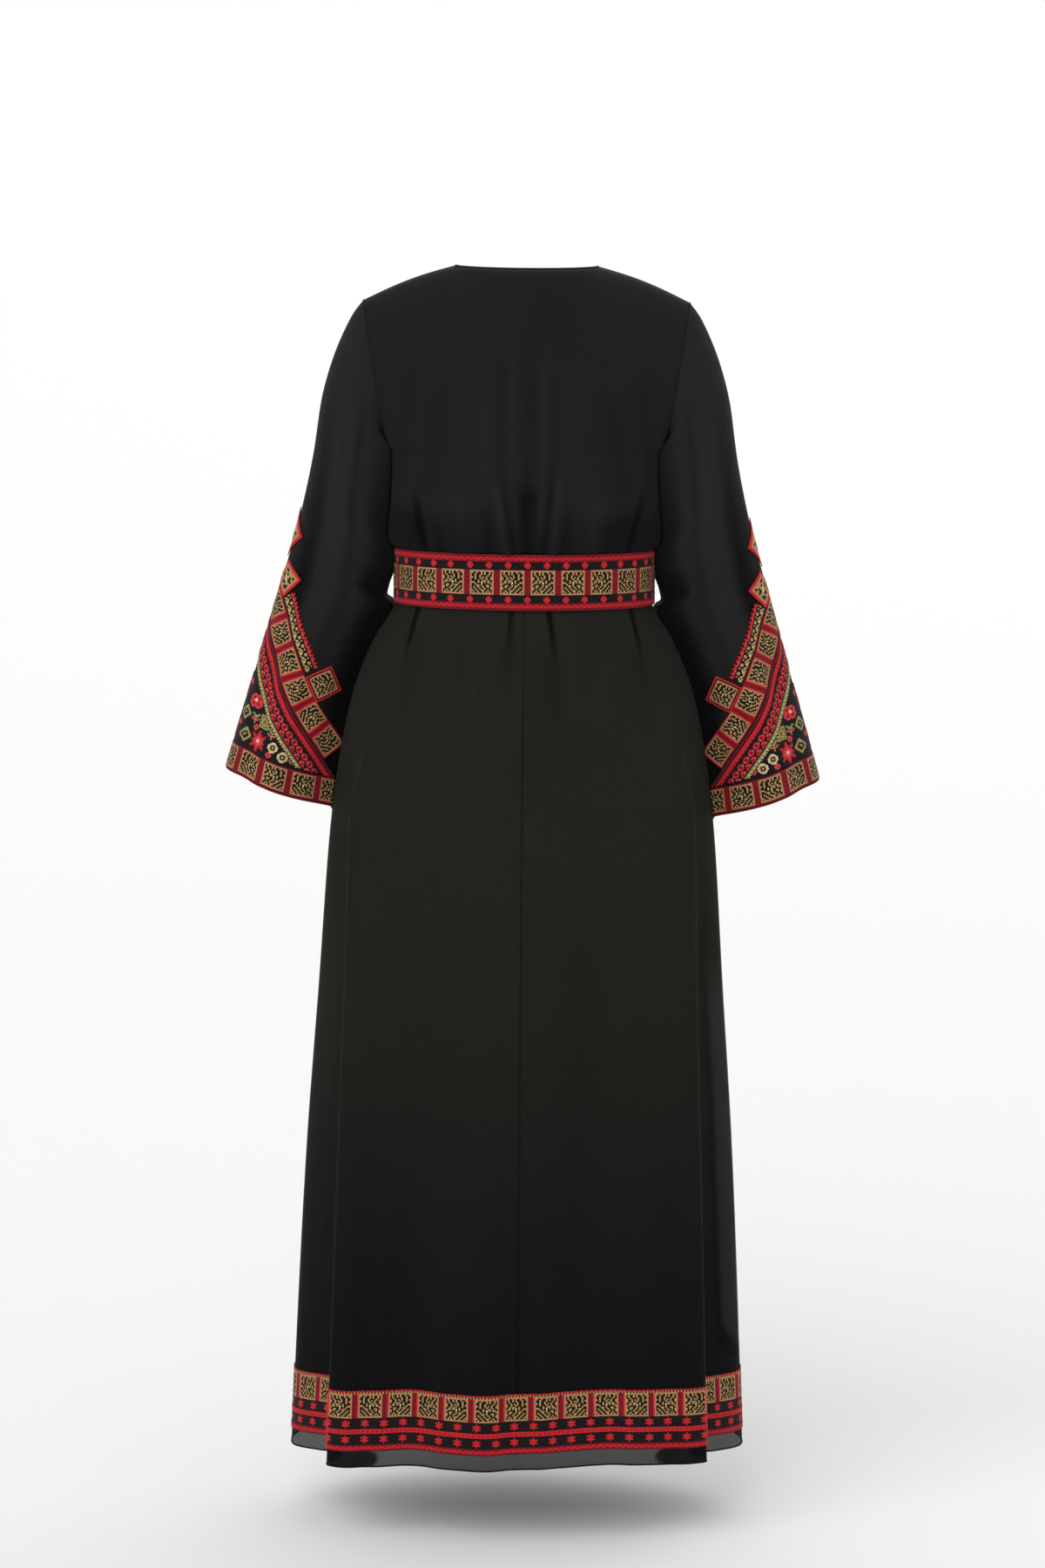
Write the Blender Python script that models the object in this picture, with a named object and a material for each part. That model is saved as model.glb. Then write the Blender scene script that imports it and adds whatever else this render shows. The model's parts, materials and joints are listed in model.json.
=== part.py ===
"""An ankle-length embroidered dress in the hollow form that it has when it is worn.

+Z is up, the back of the dress faces +Y, its front -Y and the wearer's left is +X.
The origin is midway between the two neck points, where the shoulders hold the dress.
The tables and sizes are in millimetres, and every mesh is made in metres.

Each piece of cloth starts as a grid of points on its outer face. Its rows run down the
dress, and its columns run clockwise round it, seen from above.
"""

import math

import bpy
import numpy as np

MM = 0.001

# Walls and the gaps between pieces
CLOTH = 1.5
BELT_WALL = 2.0
BAND_WALL = 1.0
SEAM = 0.3

# Neck and shoulders
NECK_HALF = 87.0
NECK_BACK = 58.0
NECK_FRONT = 74.0
NECK_BACK_DROP = 3.0
NECK_FRONT_DROP = 68.0
NECK_SHARE = 3 / 7
SHOULDER_HALF = 199.0
SHOULDER_DROP = 43.0
SHOULDER_ARCH = 4.0
SHOULDER_ROUND = 3.0
SHOULDER_SEAM = 0.35

# Armholes: rings that lean inwards from the shoulder point to the underarm
UNDERARM_HALF = 169.0
UNDERARM_Z = -222.0
ARMHOLE_DEPTH = 61.0
ARMHOLE_BLEND = 2.8

# Waist and belt
WAIST_Z = -351.0
BELT_TOP = -345.0
BELT_BOTTOM = -410.5
BELT_HALF = 160.7
BELT_BACK = 111.5
BELT_FRONT = 108.0

# Hem
HEM_Z = -1464.0
HEM_EDGE = 20.0
HEM_BAND = 75.0

# Sleeves
SLEEVE_CLEARANCE = 4.5
RIGHT_SLEEVE_DROP = 9.0
CUFF_BAND = 32.0
CUFF_EDGE = 2.0

# Half width, how far the back and front stand out, and how square the oval is (2 is an
# ellipse), at each height of the bodice
BODICE = (
    ("z", "half", "back", "front", "square"),
    (-222, 169, 105, 115, 2.4),
    (-258, 165.5, 104, 118, 2.4),
    (-293, 166.5, 107, 116, 2.3),
    (-318, 169, 115, 116, 2.15),
    (-333, 168, 118, 116, 2.05),
    (-340, 164, 115, 112, 2),
    (-343.5, 158.7, 109.5, 106, 2),
    (-346, 157.4, 108, 104.5, 2),
    (-351, 157.4, 108, 104.5, 2),
)

# The same for the skirt, with half the width between the edges of its side folds and how far
# the folds are tucked in, from 0 to 1
SKIRT = (
    ("z", "half", "back", "front", "edge", "tuck"),
    (-351.3, 157.4, 108, 104.5, 124, 0),
    (-411.5, 157.6, 108.3, 104.8, 124.2, 0),
    (-424, 164, 115, 109, 129, 0),
    (-455, 183, 128, 117, 144, 0),
    (-520, 209, 141, 128, 165, 0),
    (-593, 225, 149, 134, 188, 0.12),
    (-655, 233.5, 151, 138, 209, 0.35),
    (-724, 239.5, 151, 141, 212, 0.55),
    (-877, 249, 150, 147, 216, 0.78),
    (-1087, 263.5, 150, 157, 223, 0.95),
    (-1266, 273, 152, 166, 229, 1),
    (-1464, 282.5, 155, 176, 235, 1),
)

# Where the skirt's outline is shaped, in degrees round from the centre back: two points of
# the back panel, the edge of the side fold, its tuck, the side and the front. Where the
# folds are tucked in fully, each point is moved from the oval by this much in x and y.
SKIRT_PLAN = (
    ("angle", "out_x", "out_y"),
    (0, 0, 0),
    (26, 4, 3),
    (52, 0, 21),
    (66, -40, 15),
    (90, 0, 0),
    (132, 0, 0),
    (180, 0, 0),
)
FOLD_EDGE_ANGLE = 52
SIDE_SEAM_ANGLE = 66.0

# The sleeve's sections from the armhole to the cuff: the overarm line, the height of the
# inner line, the half depth and how far forward the sleeve's middle lies
SLEEVE = (
    ("outer_x", "outer_z", "inner_z", "depth", "y"),
    (199, -43, -222, 61, 0),
    (210, -57, -229, 61, 0),
    (226, -88, -238, 60, -2),
    (239, -122, -250, 59, -4),
    (250, -163, -268, 57, -7),
    (260, -229, -302, 55, -12),
    (275, -300, -356, 53, -18),
    (297, -380, -427, 52, -24),
    (322, -464, -505, 52, -29),
    (346, -545, -590, 53, -33),
    (369, -622, -673, 56, -36),
)

# Folds: x and height of the upper end, x and height of the lower end, half width, and how
# far the cloth stands out there (a trough is less than 0)
BODICE_BACK_FOLDS = (
    ("x", "z", "low_x", "low_z", "width", "rise"),
    (-6, -70, -4, -342, 9, -3),
    (28, -255, 21, -342, 9, -5),
    (-34, -250, -25, -342, 9, -5),
    (8, -262, 8, -342, 8, 4),
    (138, -285, 124, -342, 12, -6),
    (-126, -285, -112, -342, 12, -6),
    (78, -290, 72, -342, 12, -3),
)
BODICE_FRONT_FOLDS = (
    ("x", "z", "low_x", "low_z", "width", "rise"),
    (40, -240, 34, -342, 14, -4),
    (-44, -236, -36, -342, 14, -4),
    (112, -270, 104, -342, 14, -5),
    (-108, -274, -100, -342, 14, -5),
)
SKIRT_BACK_FOLDS = (
    ("x", "z", "low_x", "low_z", "width", "rise"),
    (118, -411, 152, -580, 11, -6),
    (66, -411, 78, -560, 12, -3),
    (14, -411, 18, -540, 10, -5),
    (-26, -411, -46, -600, 11, -5),
    (-78, -411, -90, -540, 12, -3),
    (-126, -411, -160, -580, 11, -6),
    (-88, -700, -58, -1560, 30, -9),
    (48, -900, 50, -1900, 42, 12),
    (136, -1000, 142, -1900, 34, -8),
)
SKIRT_FRONT_FOLDS = (
    ("x", "z", "low_x", "low_z", "width", "rise"),
    (110, -411, 140, -600, 14, -6),
    (40, -411, 52, -640, 14, -5),
    (-36, -411, -50, -620, 14, -5),
    (-106, -411, -138, -600, 14, -6),
    (90, -760, 104, -1900, 36, -10),
    (-10, -860, -14, -1900, 40, 9),
    (-112, -740, -124, -1900, 36, -10),
)

# Long folds of a sleeve: place round it in degrees from the overarm line by the front,
# half width in degrees, rise at the cuff
SLEEVE_FOLDS = (
    ("angle", "width", "rise"),
    (312, 15, -4),
    (272, 15, 3),
    (232, 15, -4),
    (128, 18, -4),
    (78, 18, 3),
    (42, 15, -4),
)

# The skirt's folds belong to its back inside BACK_FOLD_ANGLE and to its front past
# FRONT_FOLD_ANGLE, and fade over so many degrees
BACK_FOLD_ANGLE = 44
BACK_FOLD_FADE = 10
FRONT_FOLD_ANGLE = 112
FRONT_FOLD_FADE = 16

# A fold starts over FOLD_EASE of height and dies away over FOLD_FADE of its length. The
# sleeve's folds grow between these shares of its length.
FOLD_EASE = 30.0
FOLD_FADE = 0.6
SLEEVE_FOLD_START = 0.22
SLEEVE_FOLD_FULL = 0.84

# Grid sizes
BODICE_COLUMNS = 28
BODICE_ROWS = 9
SKIRT_BACK_COLUMNS = 22
SKIRT_FRONT_COLUMNS = 20
SLEEVE_COLUMNS = 26
SLEEVE_ROWS = 13
BELT_COLUMNS = 56
SKIRT_LEVELS = (
    -351.3, -412, -426, -455, -507, -583, -675, -815, -975, -1140, -1300, -1369, -1444, -1464
)
BODICE_LEVELS = (-255, -291, -315, -330, -339, -343.5, -345.7, -351)

# Colours and finish
BLACK = (0.012, 0.012, 0.012)
RED = (0.35, 0.02, 0.03)
CLOTH_ROUGHNESS = 0.8
SMOOTH_ANGLE = 50


def column(table, name):
    """The numbers of one named column of a table."""
    place = table[0].index(name)
    return np.array([row[place] for row in table[1:]], float)


def smooth_curve(place, value, at):
    """A curve through the points (place, value) that doesn't overshoot them, read at 'at'."""
    order = np.argsort(place)
    place, value = place[order], value[order]
    step = np.diff(place)
    slope = np.diff(value) / step
    lean = np.zeros(len(value))
    same = slope[1:] * slope[:-1] > 0
    both = np.where(same, slope[1:] + slope[:-1], 1)
    lean[1:-1] = np.where(same, 2 * slope[1:] * slope[:-1] / both, 0)
    lean[0], lean[-1] = slope[0], slope[-1]
    at = np.clip(at, place[0], place[-1])
    i = np.clip(np.searchsorted(place, at) - 1, 0, len(step) - 1)
    t = (at - place[i]) / step[i]
    start = (1 + 2 * t) * (1 - t) ** 2 * value[i] + t * (1 - t) ** 2 * step[i] * lean[i]
    end = t * t * (3 - 2 * t) * value[i + 1] - t * t * (1 - t) * step[i] * lean[i + 1]
    return start + end


def read(table, name, z):
    """A column of a table whose rows are heights, read at the heights z."""
    return smooth_curve(column(table, "z"), column(table, name), z)


def smooth_step(t):
    """0 up to t = 0, 1 from t = 1, and a soft rise between."""
    t = np.clip(t, 0, 1)
    return t * t * (3 - 2 * t)


def folds(table, x, z):
    """How far the folds of a table raise the cloth at x and z."""
    rise = np.zeros(np.broadcast(x, z).shape)
    for top_x, top, low_x, low, width, height in table[1:]:
        middle = top_x + (low_x - top_x) * (z - top) / (low - top)
        begin = smooth_step((top - z) / FOLD_EASE)
        end = smooth_step((z - low) / (FOLD_FADE * (top - low)))
        rise = rise + height * begin * end * np.exp(-(((x - middle) / width) ** 2))
    return rise


def normals(grid, closed):
    """Outward unit normals of a grid of points. A closed grid's last column joins its first."""
    down = np.gradient(grid, axis=0)
    if closed:
        across = np.roll(grid, -1, axis=1) - np.roll(grid, 1, axis=1)
    else:
        across = np.gradient(grid, axis=1)
    out = np.cross(across, down)
    return out / np.linalg.norm(out, axis=2, keepdims=True)


def grid_mesh(name, outer, inner, closed, colour):
    """A closed wall between two grids of points, as a named object. On a closed grid the
    last column joins the first."""
    rows, columns = outer.shape[:2]
    points = np.concatenate([outer.reshape(-1, 3), inner.reshape(-1, 3)]) * MM
    count = rows * columns
    last = columns if closed else columns - 1
    faces = []
    for r in range(rows - 1):
        for c in range(last):
            d = (c + 1) % columns
            a, b = r * columns + c, r * columns + d
            e, f = (r + 1) * columns + c, (r + 1) * columns + d
            faces.append((a, b, f, e))
            faces.append((count + a, count + e, count + f, count + b))
    for c in range(last):
        d = (c + 1) % columns
        top, low = (rows - 1) * columns, 0
        faces.append((low + d, low + c, count + low + c, count + low + d))
        faces.append((top + c, top + d, count + top + d, count + top + c))
    if not closed:
        for r in range(rows - 1):
            a, b = r * columns, (r + 1) * columns
            faces.append((a, b, count + b, count + a))
            a, b = a + columns - 1, b + columns - 1
            faces.append((b, a, count + a, count + b))
    mesh = bpy.data.meshes.new(name)
    mesh.from_pydata(points.tolist(), [], faces)
    mesh.shade_smooth()
    mesh.set_sharp_from_angle(angle=math.radians(SMOOTH_ANGLE))
    mesh.update()
    piece = bpy.data.objects.new(name, mesh)
    bpy.context.scene.collection.objects.link(piece)
    mesh.materials.append(finish(name, colour))
    return piece


def finish(name, colour):
    """A plain cloth material of one colour."""
    material = bpy.data.materials.new(name + "_finish")
    material.use_nodes = True
    shader = material.node_tree.nodes["Principled BSDF"]
    shader.inputs["Base Color"].default_value = (*colour, 1)
    shader.inputs["Roughness"].default_value = CLOTH_ROUGHNESS
    shader.inputs["Metallic"].default_value = 0
    return material


def open_seam(grid, gap=SEAM / 2):
    """The grid with its first and last columns drawn in by a gap, for a seam."""
    grid = grid.copy()
    for edge, beside in ((0, 1), (-1, -2)):
        way = grid[:, beside] - grid[:, edge]
        grid[:, edge] += gap * way / np.linalg.norm(way, axis=1, keepdims=True)
    return grid


def bodice_lower(angle, z, side):
    """Points of the bodice below the underarm, at angles from the centre of its side."""
    half = read(BODICE, "half", z)
    out = read(BODICE, side, z)
    power = 2 / read(BODICE, "square", z)
    x = half * np.sign(angle) * np.abs(np.sin(angle)) ** power
    y = out * np.abs(np.cos(angle)) ** power
    table = BODICE_BACK_FOLDS if side == "back" else BODICE_FRONT_FOLDS
    y = y + folds(table, x, z) * np.cos(angle)
    return np.stack([x, y, z + 0 * x], axis=-1)


def bodice_upper(angle, height, side):
    """Points of the bodice above the underarm, at the same angles. height is 0 at the
    underarm and 1 at the neck and shoulder line."""
    u = angle / (math.pi / 2)
    across = np.abs(u)
    past = np.clip((across - NECK_SHARE) / (1 - NECK_SHARE), 0, 1)
    in_top = NECK_HALF * across / NECK_SHARE
    past_top = NECK_HALF + (SHOULDER_HALF - NECK_HALF) * past
    top_x = np.where(across < NECK_SHARE, in_top, past_top)
    in_neck = np.sqrt(np.clip(1 - (top_x / NECK_HALF) ** 2, 0, 1))
    reach, drop = (NECK_BACK, NECK_BACK_DROP) if side == "back" else (NECK_FRONT, NECK_FRONT_DROP)
    top_y = reach * in_neck + SHOULDER_SEAM
    top_z = SHOULDER_ARCH * np.sin(math.pi * past) - SHOULDER_DROP * past - drop * in_neck
    power = 2 / read(BODICE, "square", UNDERARM_Z)
    low_x = UNDERARM_HALF * np.abs(np.sin(angle)) ** power
    low_y = read(BODICE, side, UNDERARM_Z) * np.abs(np.cos(angle)) ** power
    x = np.sign(u) * (low_x + (top_x - low_x) * height)
    z = UNDERARM_Z + (top_z - UNDERARM_Z) * height
    round_over = np.sqrt(np.clip(1 - height**SHOULDER_ROUND, 0, 1))
    y = top_y + (low_y - top_y) * round_over
    swell = 2 * np.sqrt(np.clip(height * (1 - height), 0, 1))
    y = y + ARMHOLE_DEPTH * across**ARMHOLE_BLEND * swell
    table = BODICE_BACK_FOLDS if side == "back" else BODICE_FRONT_FOLDS
    y = y + folds(table, x, z) * np.cos(angle) * (1 - height)
    return np.stack([x, y, z], axis=-1)


def bodice_grid(side):
    """The bodice's back, or its front as if it were the back: rows of equal steps round the
    armhole, and then rows of levels down to the waist."""
    columns, levels, rows = BODICE_COLUMNS, BODICE_LEVELS, BODICE_ROWS
    angle = math.pi / 2 * angle_shares(columns)[None, :]
    turn = np.linspace(0, math.pi, rows + 1)[:, None]
    upper = bodice_upper(angle, (1 + np.cos(turn)) / 2, side)
    lower = bodice_lower(angle, np.array(levels, float)[:, None], side)
    return np.concatenate([upper, lower])


def angle_shares(columns):
    """Each column's place on a side of the bodice, from -1 to 1."""
    return np.linspace(-1, 1, columns + 1)


def make_bodice(name, side):
    """One side of the bodice as a wall."""
    grid = bodice_grid(side)
    grid[BODICE_ROWS:, [0, -1], 1] += SEAM / 2
    out = normals(grid, closed=False)
    out[BODICE_ROWS + 1 :, [0, -1], 1] = 0
    shoulder = np.abs(angle_shares(BODICE_COLUMNS)) > NECK_SHARE - 1 / BODICE_COLUMNS
    out[0, shoulder, 1] = 0
    out /= np.linalg.norm(out, axis=2, keepdims=True)
    inner = grid - out * CLOTH
    if side == "front":
        grid, inner = grid[:, ::-1] * (1, -1, 1), inner[:, ::-1] * (1, -1, 1)
    return grid_mesh(name, grid, inner, False, BLACK)


def skirt_outline(angle, z):
    """Points of the skirt at angles in degrees round from the centre back, from -180 to 180,
    and heights z: an oval whose shaping points move out and in for the side folds."""
    knots = column(SKIRT_PLAN, "angle")
    half, tuck = read(SKIRT, "half", z), read(SKIRT, "tuck", z)
    turn = np.radians(knots)
    px, py = [], []
    for k in range(len(knots)):
        out = read(SKIRT, "back" if math.cos(turn[k]) > 0 else "front", z)
        across = half * math.sin(turn[k]) + tuck * column(SKIRT_PLAN, "out_x")[k]
        px.append(read(SKIRT, "edge", z) if knots[k] == FOLD_EDGE_ANGLE else across)
        py.append(out * math.cos(turn[k]) + tuck * column(SKIRT_PLAN, "out_y")[k])
    around = np.abs(angle)
    i = np.clip(np.searchsorted(knots, around, side="right") - 1, 0, len(knots) - 2)
    x = np.zeros(np.broadcast(angle, z).shape)
    y = np.zeros(x.shape)
    for k in range(len(knots) - 1):
        span = knots[k + 1] - knots[k]
        t = (around - knots[k]) / span
        here = i == k
        for values, result, mirror in ((px, x, -1), (py, y, 1)):
            lean = [knot_lean(values, knots, j, mirror) * span for j in (k, k + 1)]
            start = (1 + 2 * t) * (1 - t) ** 2 * values[k] + t * (1 - t) ** 2 * lean[0]
            end = t * t * (3 - 2 * t) * values[k + 1] - t * t * (1 - t) * lean[1]
            result += np.where(here, start + end, 0)
    return np.sign(angle) * x, y


def knot_lean(values, knots, k, mirror):
    """The slope of a closed, mirrored outline at its shaping point k."""
    last = len(knots) - 1
    before = values[k - 1] if k > 0 else mirror * values[1]
    after = values[k + 1] if k < last else mirror * values[last - 1]
    step_in = knots[k] - knots[k - 1] if k > 0 else knots[1]
    step_out = knots[k + 1] - knots[k] if k < last else knots[last] - knots[last - 1]
    slope_in = (values[k] - before) / step_in
    slope_out = (after - values[k]) / step_out
    return (slope_in * step_out + slope_out * step_in) / (step_in + step_out)


def skirt_grid(angle, levels):
    """The skirt's cloth all round: rows of levels, columns of angles."""
    angle, z = np.asarray(angle, float)[None, :], np.asarray(levels, float)[:, None]
    x, y = skirt_outline(angle, z)
    back = 1 - smooth_step((np.abs(angle) - BACK_FOLD_ANGLE) / BACK_FOLD_FADE)
    front = smooth_step((np.abs(angle) - FRONT_FOLD_ANGLE) / FRONT_FOLD_FADE)
    rise = back * folds(SKIRT_BACK_FOLDS, x, z) - front * folds(SKIRT_FRONT_FOLDS, x, z)
    return np.stack([x, y + rise, z + 0 * x], axis=-1)


def skirt_angles():
    """The columns of the skirt in degrees, with each seam on a column."""
    back = np.linspace(0, SIDE_SEAM_ANGLE, SKIRT_BACK_COLUMNS + 1)
    front = np.linspace(SIDE_SEAM_ANGLE, 180, SKIRT_FRONT_COLUMNS + 1)
    half = np.concatenate([back, front[1:]])
    return np.concatenate([-half[:0:-1], half])


def skirt_columns(panel):
    """The columns of one skirt panel in order."""
    right = SKIRT_FRONT_COLUMNS
    middle = right + SKIRT_BACK_COLUMNS
    left = middle + SKIRT_BACK_COLUMNS
    if panel == "right":
        return list(range(right, middle + 1))
    if panel == "left":
        return list(range(middle, left + 1))
    return list(range(left, left + SKIRT_FRONT_COLUMNS + 1)) + list(range(1, right + 1))


def skirt_piece(name, grid, out, panel, wall, colour, lift=0.0):
    """A wall made from the skirt's points in one panel. Its outer face is moved out by lift."""
    pick = skirt_columns(panel)
    outer = open_seam(grid[:, pick] + out[:, pick] * lift)
    return grid_mesh(name, outer, outer - out[:, pick] * wall, False, colour)


def make_skirt():
    """The skirt's panels and the bands on its hem."""
    grid = skirt_grid(skirt_angles(), SKIRT_LEVELS)
    out = np.zeros(grid.shape)
    out[:, 1:] = normals(grid[:, 1:], closed=True)
    out[:, 0] = out[:, -1]  # the first and last column are the same line, at the centre front
    skirt_piece("skirt_back_left", grid, out, "left", CLOTH, BLACK)
    skirt_piece("skirt_back_right", grid, out, "right", CLOTH, BLACK)
    skirt_piece("skirt_front", grid, out, "front", CLOTH, BLACK)
    levels = list(SKIRT_LEVELS)
    low, high = levels.index(HEM_Z + HEM_EDGE), levels.index(HEM_Z + HEM_EDGE + HEM_BAND)
    band, band_out, lift = grid[high : low + 1], out[high : low + 1], SEAM + BAND_WALL
    skirt_piece("hem_band_back_left", band, band_out, "left", BAND_WALL, RED, lift)
    skirt_piece("hem_band_back_right", band, band_out, "right", BAND_WALL, RED, lift)
    skirt_piece("hem_band_front", band, band_out, "front", BAND_WALL, RED, lift)


def sleeve_rings(rows, columns, drop):
    """A sleeve as if on the left: rows from the armhole to the cuff, columns round it from
    the overarm line by the front. Its cuff hangs lower by drop."""
    station = np.arange(len(SLEEVE) - 1, dtype=float)
    at = np.linspace(0, station[-1], rows + 1)[:, None]
    part = {name: smooth_curve(station, column(SLEEVE, name), at) for name in SLEEVE[0]}
    body = np.where(
        part["inner_z"] > WAIST_Z,
        read(BODICE, "half", part["inner_z"]),
        read(SKIRT, "half", part["inner_z"]),
    )
    clear = SLEEVE_CLEARANCE * smooth_step(at / 2) + SEAM
    inner_x = np.maximum(body, BELT_HALF) + clear
    inner_x = np.where(at == 0, UNDERARM_HALF + SEAM, inner_x)
    outer_x = part["outer_x"] + SEAM * (at == 0)
    turn = np.linspace(0, 2 * math.pi, columns + 1)[:-1][None, :]
    middle_x, reach_x = (outer_x + inner_x) / 2, (outer_x - inner_x) / 2
    middle_z = (part["outer_z"] + part["inner_z"]) / 2
    reach_z = (part["outer_z"] - part["inner_z"]) / 2
    along = at / station[-1]
    growth = smooth_step((along - SLEEVE_FOLD_START) / (SLEEVE_FOLD_FULL - SLEEVE_FOLD_START))
    rise = np.zeros((rows + 1, columns))
    for place, width, height in SLEEVE_FOLDS[1:]:
        off = (np.degrees(turn) - place + 180) % 360 - 180
        rise = rise + height * growth * np.exp(-((off / width) ** 2))
    x = middle_x + (reach_x + rise) * np.cos(turn)
    y = part["y"] - (part["depth"] + rise) * np.sin(turn)
    z = middle_z + reach_z * np.cos(turn) - drop * along**2
    return np.stack([x, y, z], axis=-1)


def make_sleeve(side):
    """A sleeve and its cuff band. side is 1 for the left one and -1 for the right one."""
    word = "left" if side > 0 else "right"
    drop = 0 if side > 0 else RIGHT_SLEEVE_DROP
    grid = sleeve_rings(SLEEVE_ROWS, SLEEVE_COLUMNS, drop)
    out = normals(grid, closed=True)
    armhole = np.array((SHOULDER_HALF - UNDERARM_HALF, 0, -SHOULDER_DROP - UNDERARM_Z))
    across = np.cross(armhole, (0, 1, 0)) / np.linalg.norm(armhole)
    out[0] -= (out[0] @ across)[:, None] * across
    out /= np.linalg.norm(out, axis=2, keepdims=True)
    sleeve_wall("sleeve_" + word, grid, grid - out * CLOTH, side, BLACK)
    edge, before = grid[-1], grid[-2]
    up = (before - edge) / np.linalg.norm(before - edge, axis=1, keepdims=True)
    rows = np.stack([edge + up * (CUFF_EDGE + CUFF_BAND), edge + up * CUFF_EDGE])
    inner = rows + out[-1] * SEAM
    sleeve_wall("cuff_band_" + word, inner + out[-1] * BAND_WALL, inner, side, RED)


def sleeve_wall(name, outer, inner, side, colour):
    """A closed wall round the left sleeve, or its mirror image round the right one, where
    the columns are turned round to keep their direction."""
    outer, inner = (grid[:, ::side] * (side, 1, 1) for grid in (outer, inner))
    grid_mesh(name, outer, inner, True, colour)


def make_belt():
    """The belt, a closed oval wall round the waist."""
    turn = np.linspace(0, 2 * math.pi, BELT_COLUMNS + 1)[:-1]
    rings = []
    for wall in (0, BELT_WALL):
        x = (BELT_HALF - wall) * np.sin(turn)
        out = np.where(np.cos(turn) > 0, BELT_BACK, BELT_FRONT) - wall
        ring = np.stack([x, out * np.cos(turn), 0 * x], axis=-1)
        rings.append(np.stack([ring + (0, 0, BELT_TOP), ring + (0, 0, BELT_BOTTOM)]))
    grid_mesh("belt", rings[0], rings[1], True, RED)


def main():
    for old in list(bpy.data.objects):
        bpy.data.objects.remove(old, do_unlink=True)
    make_bodice("bodice_back", "back")
    make_bodice("bodice_front", "front")
    make_skirt()
    make_sleeve(1)
    make_sleeve(-1)
    make_belt()


main()
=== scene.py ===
"""The looks of an ankle-length black dress with embroidered bands, worn form, seen from behind.

+Z is up, the back of the dress faces +Y and the wearer's left is +X. The tables and sizes
are in millimetres, and every mesh is made in metres. Each piece of cloth starts as a grid
of points on its outer face: the rows run down the dress, and the columns run clockwise
round it, seen from above.
"""

import json
import math

import bpy
import numpy as np
from mathutils import Matrix
from mathutils.kdtree import KDTree

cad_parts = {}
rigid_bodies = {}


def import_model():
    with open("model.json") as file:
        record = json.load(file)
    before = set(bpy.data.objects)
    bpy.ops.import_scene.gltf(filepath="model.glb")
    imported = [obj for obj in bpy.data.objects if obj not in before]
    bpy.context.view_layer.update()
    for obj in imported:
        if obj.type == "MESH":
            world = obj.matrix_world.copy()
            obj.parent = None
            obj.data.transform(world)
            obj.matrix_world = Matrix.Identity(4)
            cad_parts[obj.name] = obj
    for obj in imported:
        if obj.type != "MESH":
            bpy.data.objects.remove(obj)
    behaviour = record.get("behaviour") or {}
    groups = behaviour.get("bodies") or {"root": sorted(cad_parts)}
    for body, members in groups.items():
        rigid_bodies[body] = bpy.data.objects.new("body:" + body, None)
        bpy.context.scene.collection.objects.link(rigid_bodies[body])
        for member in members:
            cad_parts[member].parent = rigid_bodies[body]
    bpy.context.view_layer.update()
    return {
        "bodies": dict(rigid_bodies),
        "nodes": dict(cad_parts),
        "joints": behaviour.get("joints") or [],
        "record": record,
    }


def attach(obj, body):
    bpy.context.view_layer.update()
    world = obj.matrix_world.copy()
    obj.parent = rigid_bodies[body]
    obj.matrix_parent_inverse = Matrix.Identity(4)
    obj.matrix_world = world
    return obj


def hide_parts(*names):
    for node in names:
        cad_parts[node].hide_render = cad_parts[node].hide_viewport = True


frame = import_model()

bl_info = {
    "name": "Embroidered dress",
    "version": (1, 0, 0),
    "blender": (4, 5, 0),
    "location": "3D View > Sidebar > Dress",
    "description": "Makes the cloth and the embroidery of a long black dress around its frame",
    "category": "Object",
}

MM = 0.001
BODY = "root"

# The cloth's wall, how far bands stand off it, the room at the armholes, and how far panels lap
# at their seams so that no light shows through
CLOTH = 0.9
BAND_LIFT = 0.3
SEAM = 0.3
SEAM_LAP = 0.02

# Neck and shoulders
NECK_HALF = 87.0
NECK_BACK = 58.0
NECK_FRONT = 74.0
NECK_BACK_DROP = 3.0
NECK_FRONT_DROP = 68.0
NECK_SHARE = 3 / 7
SHOULDER_HALF = 199.0
SHOULDER_DROP = 43.0
SHOULDER_ARCH = 4.0
SHOULDER_ROUND = 3.0
SHOULDER_SEAM = 0.35
NECK_CORNER = 14.0

# Armholes, waist, belt and hem
UNDERARM_HALF = 169.0
UNDERARM_Z = -222.0
ARMHOLE_DEPTH = 61.0
ARMHOLE_BLEND = 2.8
WAIST_Z = -351.0
BELT_TOP = -345.0
BELT_BOTTOM = -410.5
BLOUSE_HELD = (BELT_TOP - 2, BELT_TOP + 7)
BELT_HALF = 160.7
BELT_BACK = 111.5
BELT_FRONT = 108.0
SKIRT_TOP = -351.3
HEM_Z = -1464.0
HEM_EDGE = 20.0
HEM_BAND = 75.0

# Sleeves
SLEEVE_CLEARANCE = 4.5
CLEAR_STATIONS = 2
SLEEVE_WRAP = 8.0
WRAP_STATIONS = (0.8, 2.4)
WRAP_ANGLES = (138, 222)
WRAP_WIDTH = 27
BODY_CLEAR = 1.3
BELT_NEAR = 6
WAIST_GAP = 4.0
RIGHT_SLEEVE_DROP = 9.0
CUFF_BAND = 32.0
CUFF_EDGE = 2.0
CUFF_STITCHES = 209
SLEEVE_SIZE = (120, 168)
SLEEVE_FINE = (240, 360)

# Half width, how far the back and front stand out, and how square the oval is, at heights
BODICE = (
    ("z", "half", "back", "front", "square"),
    (-222, 169, 105, 115, 2.4),
    (-258, 165.5, 104, 118, 2.4),
    (-293, 166.5, 107, 116, 2.3),
    (-318, 169, 115, 116, 2.15),
    (-333, 168, 118, 116, 2.05),
    (-340, 164, 115, 112, 2),
    (-343.5, 158.7, 109.5, 106, 2),
    (-346, 157.4, 108, 104.5, 2),
    (-351, 157.4, 108, 104.5, 2),
)

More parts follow.
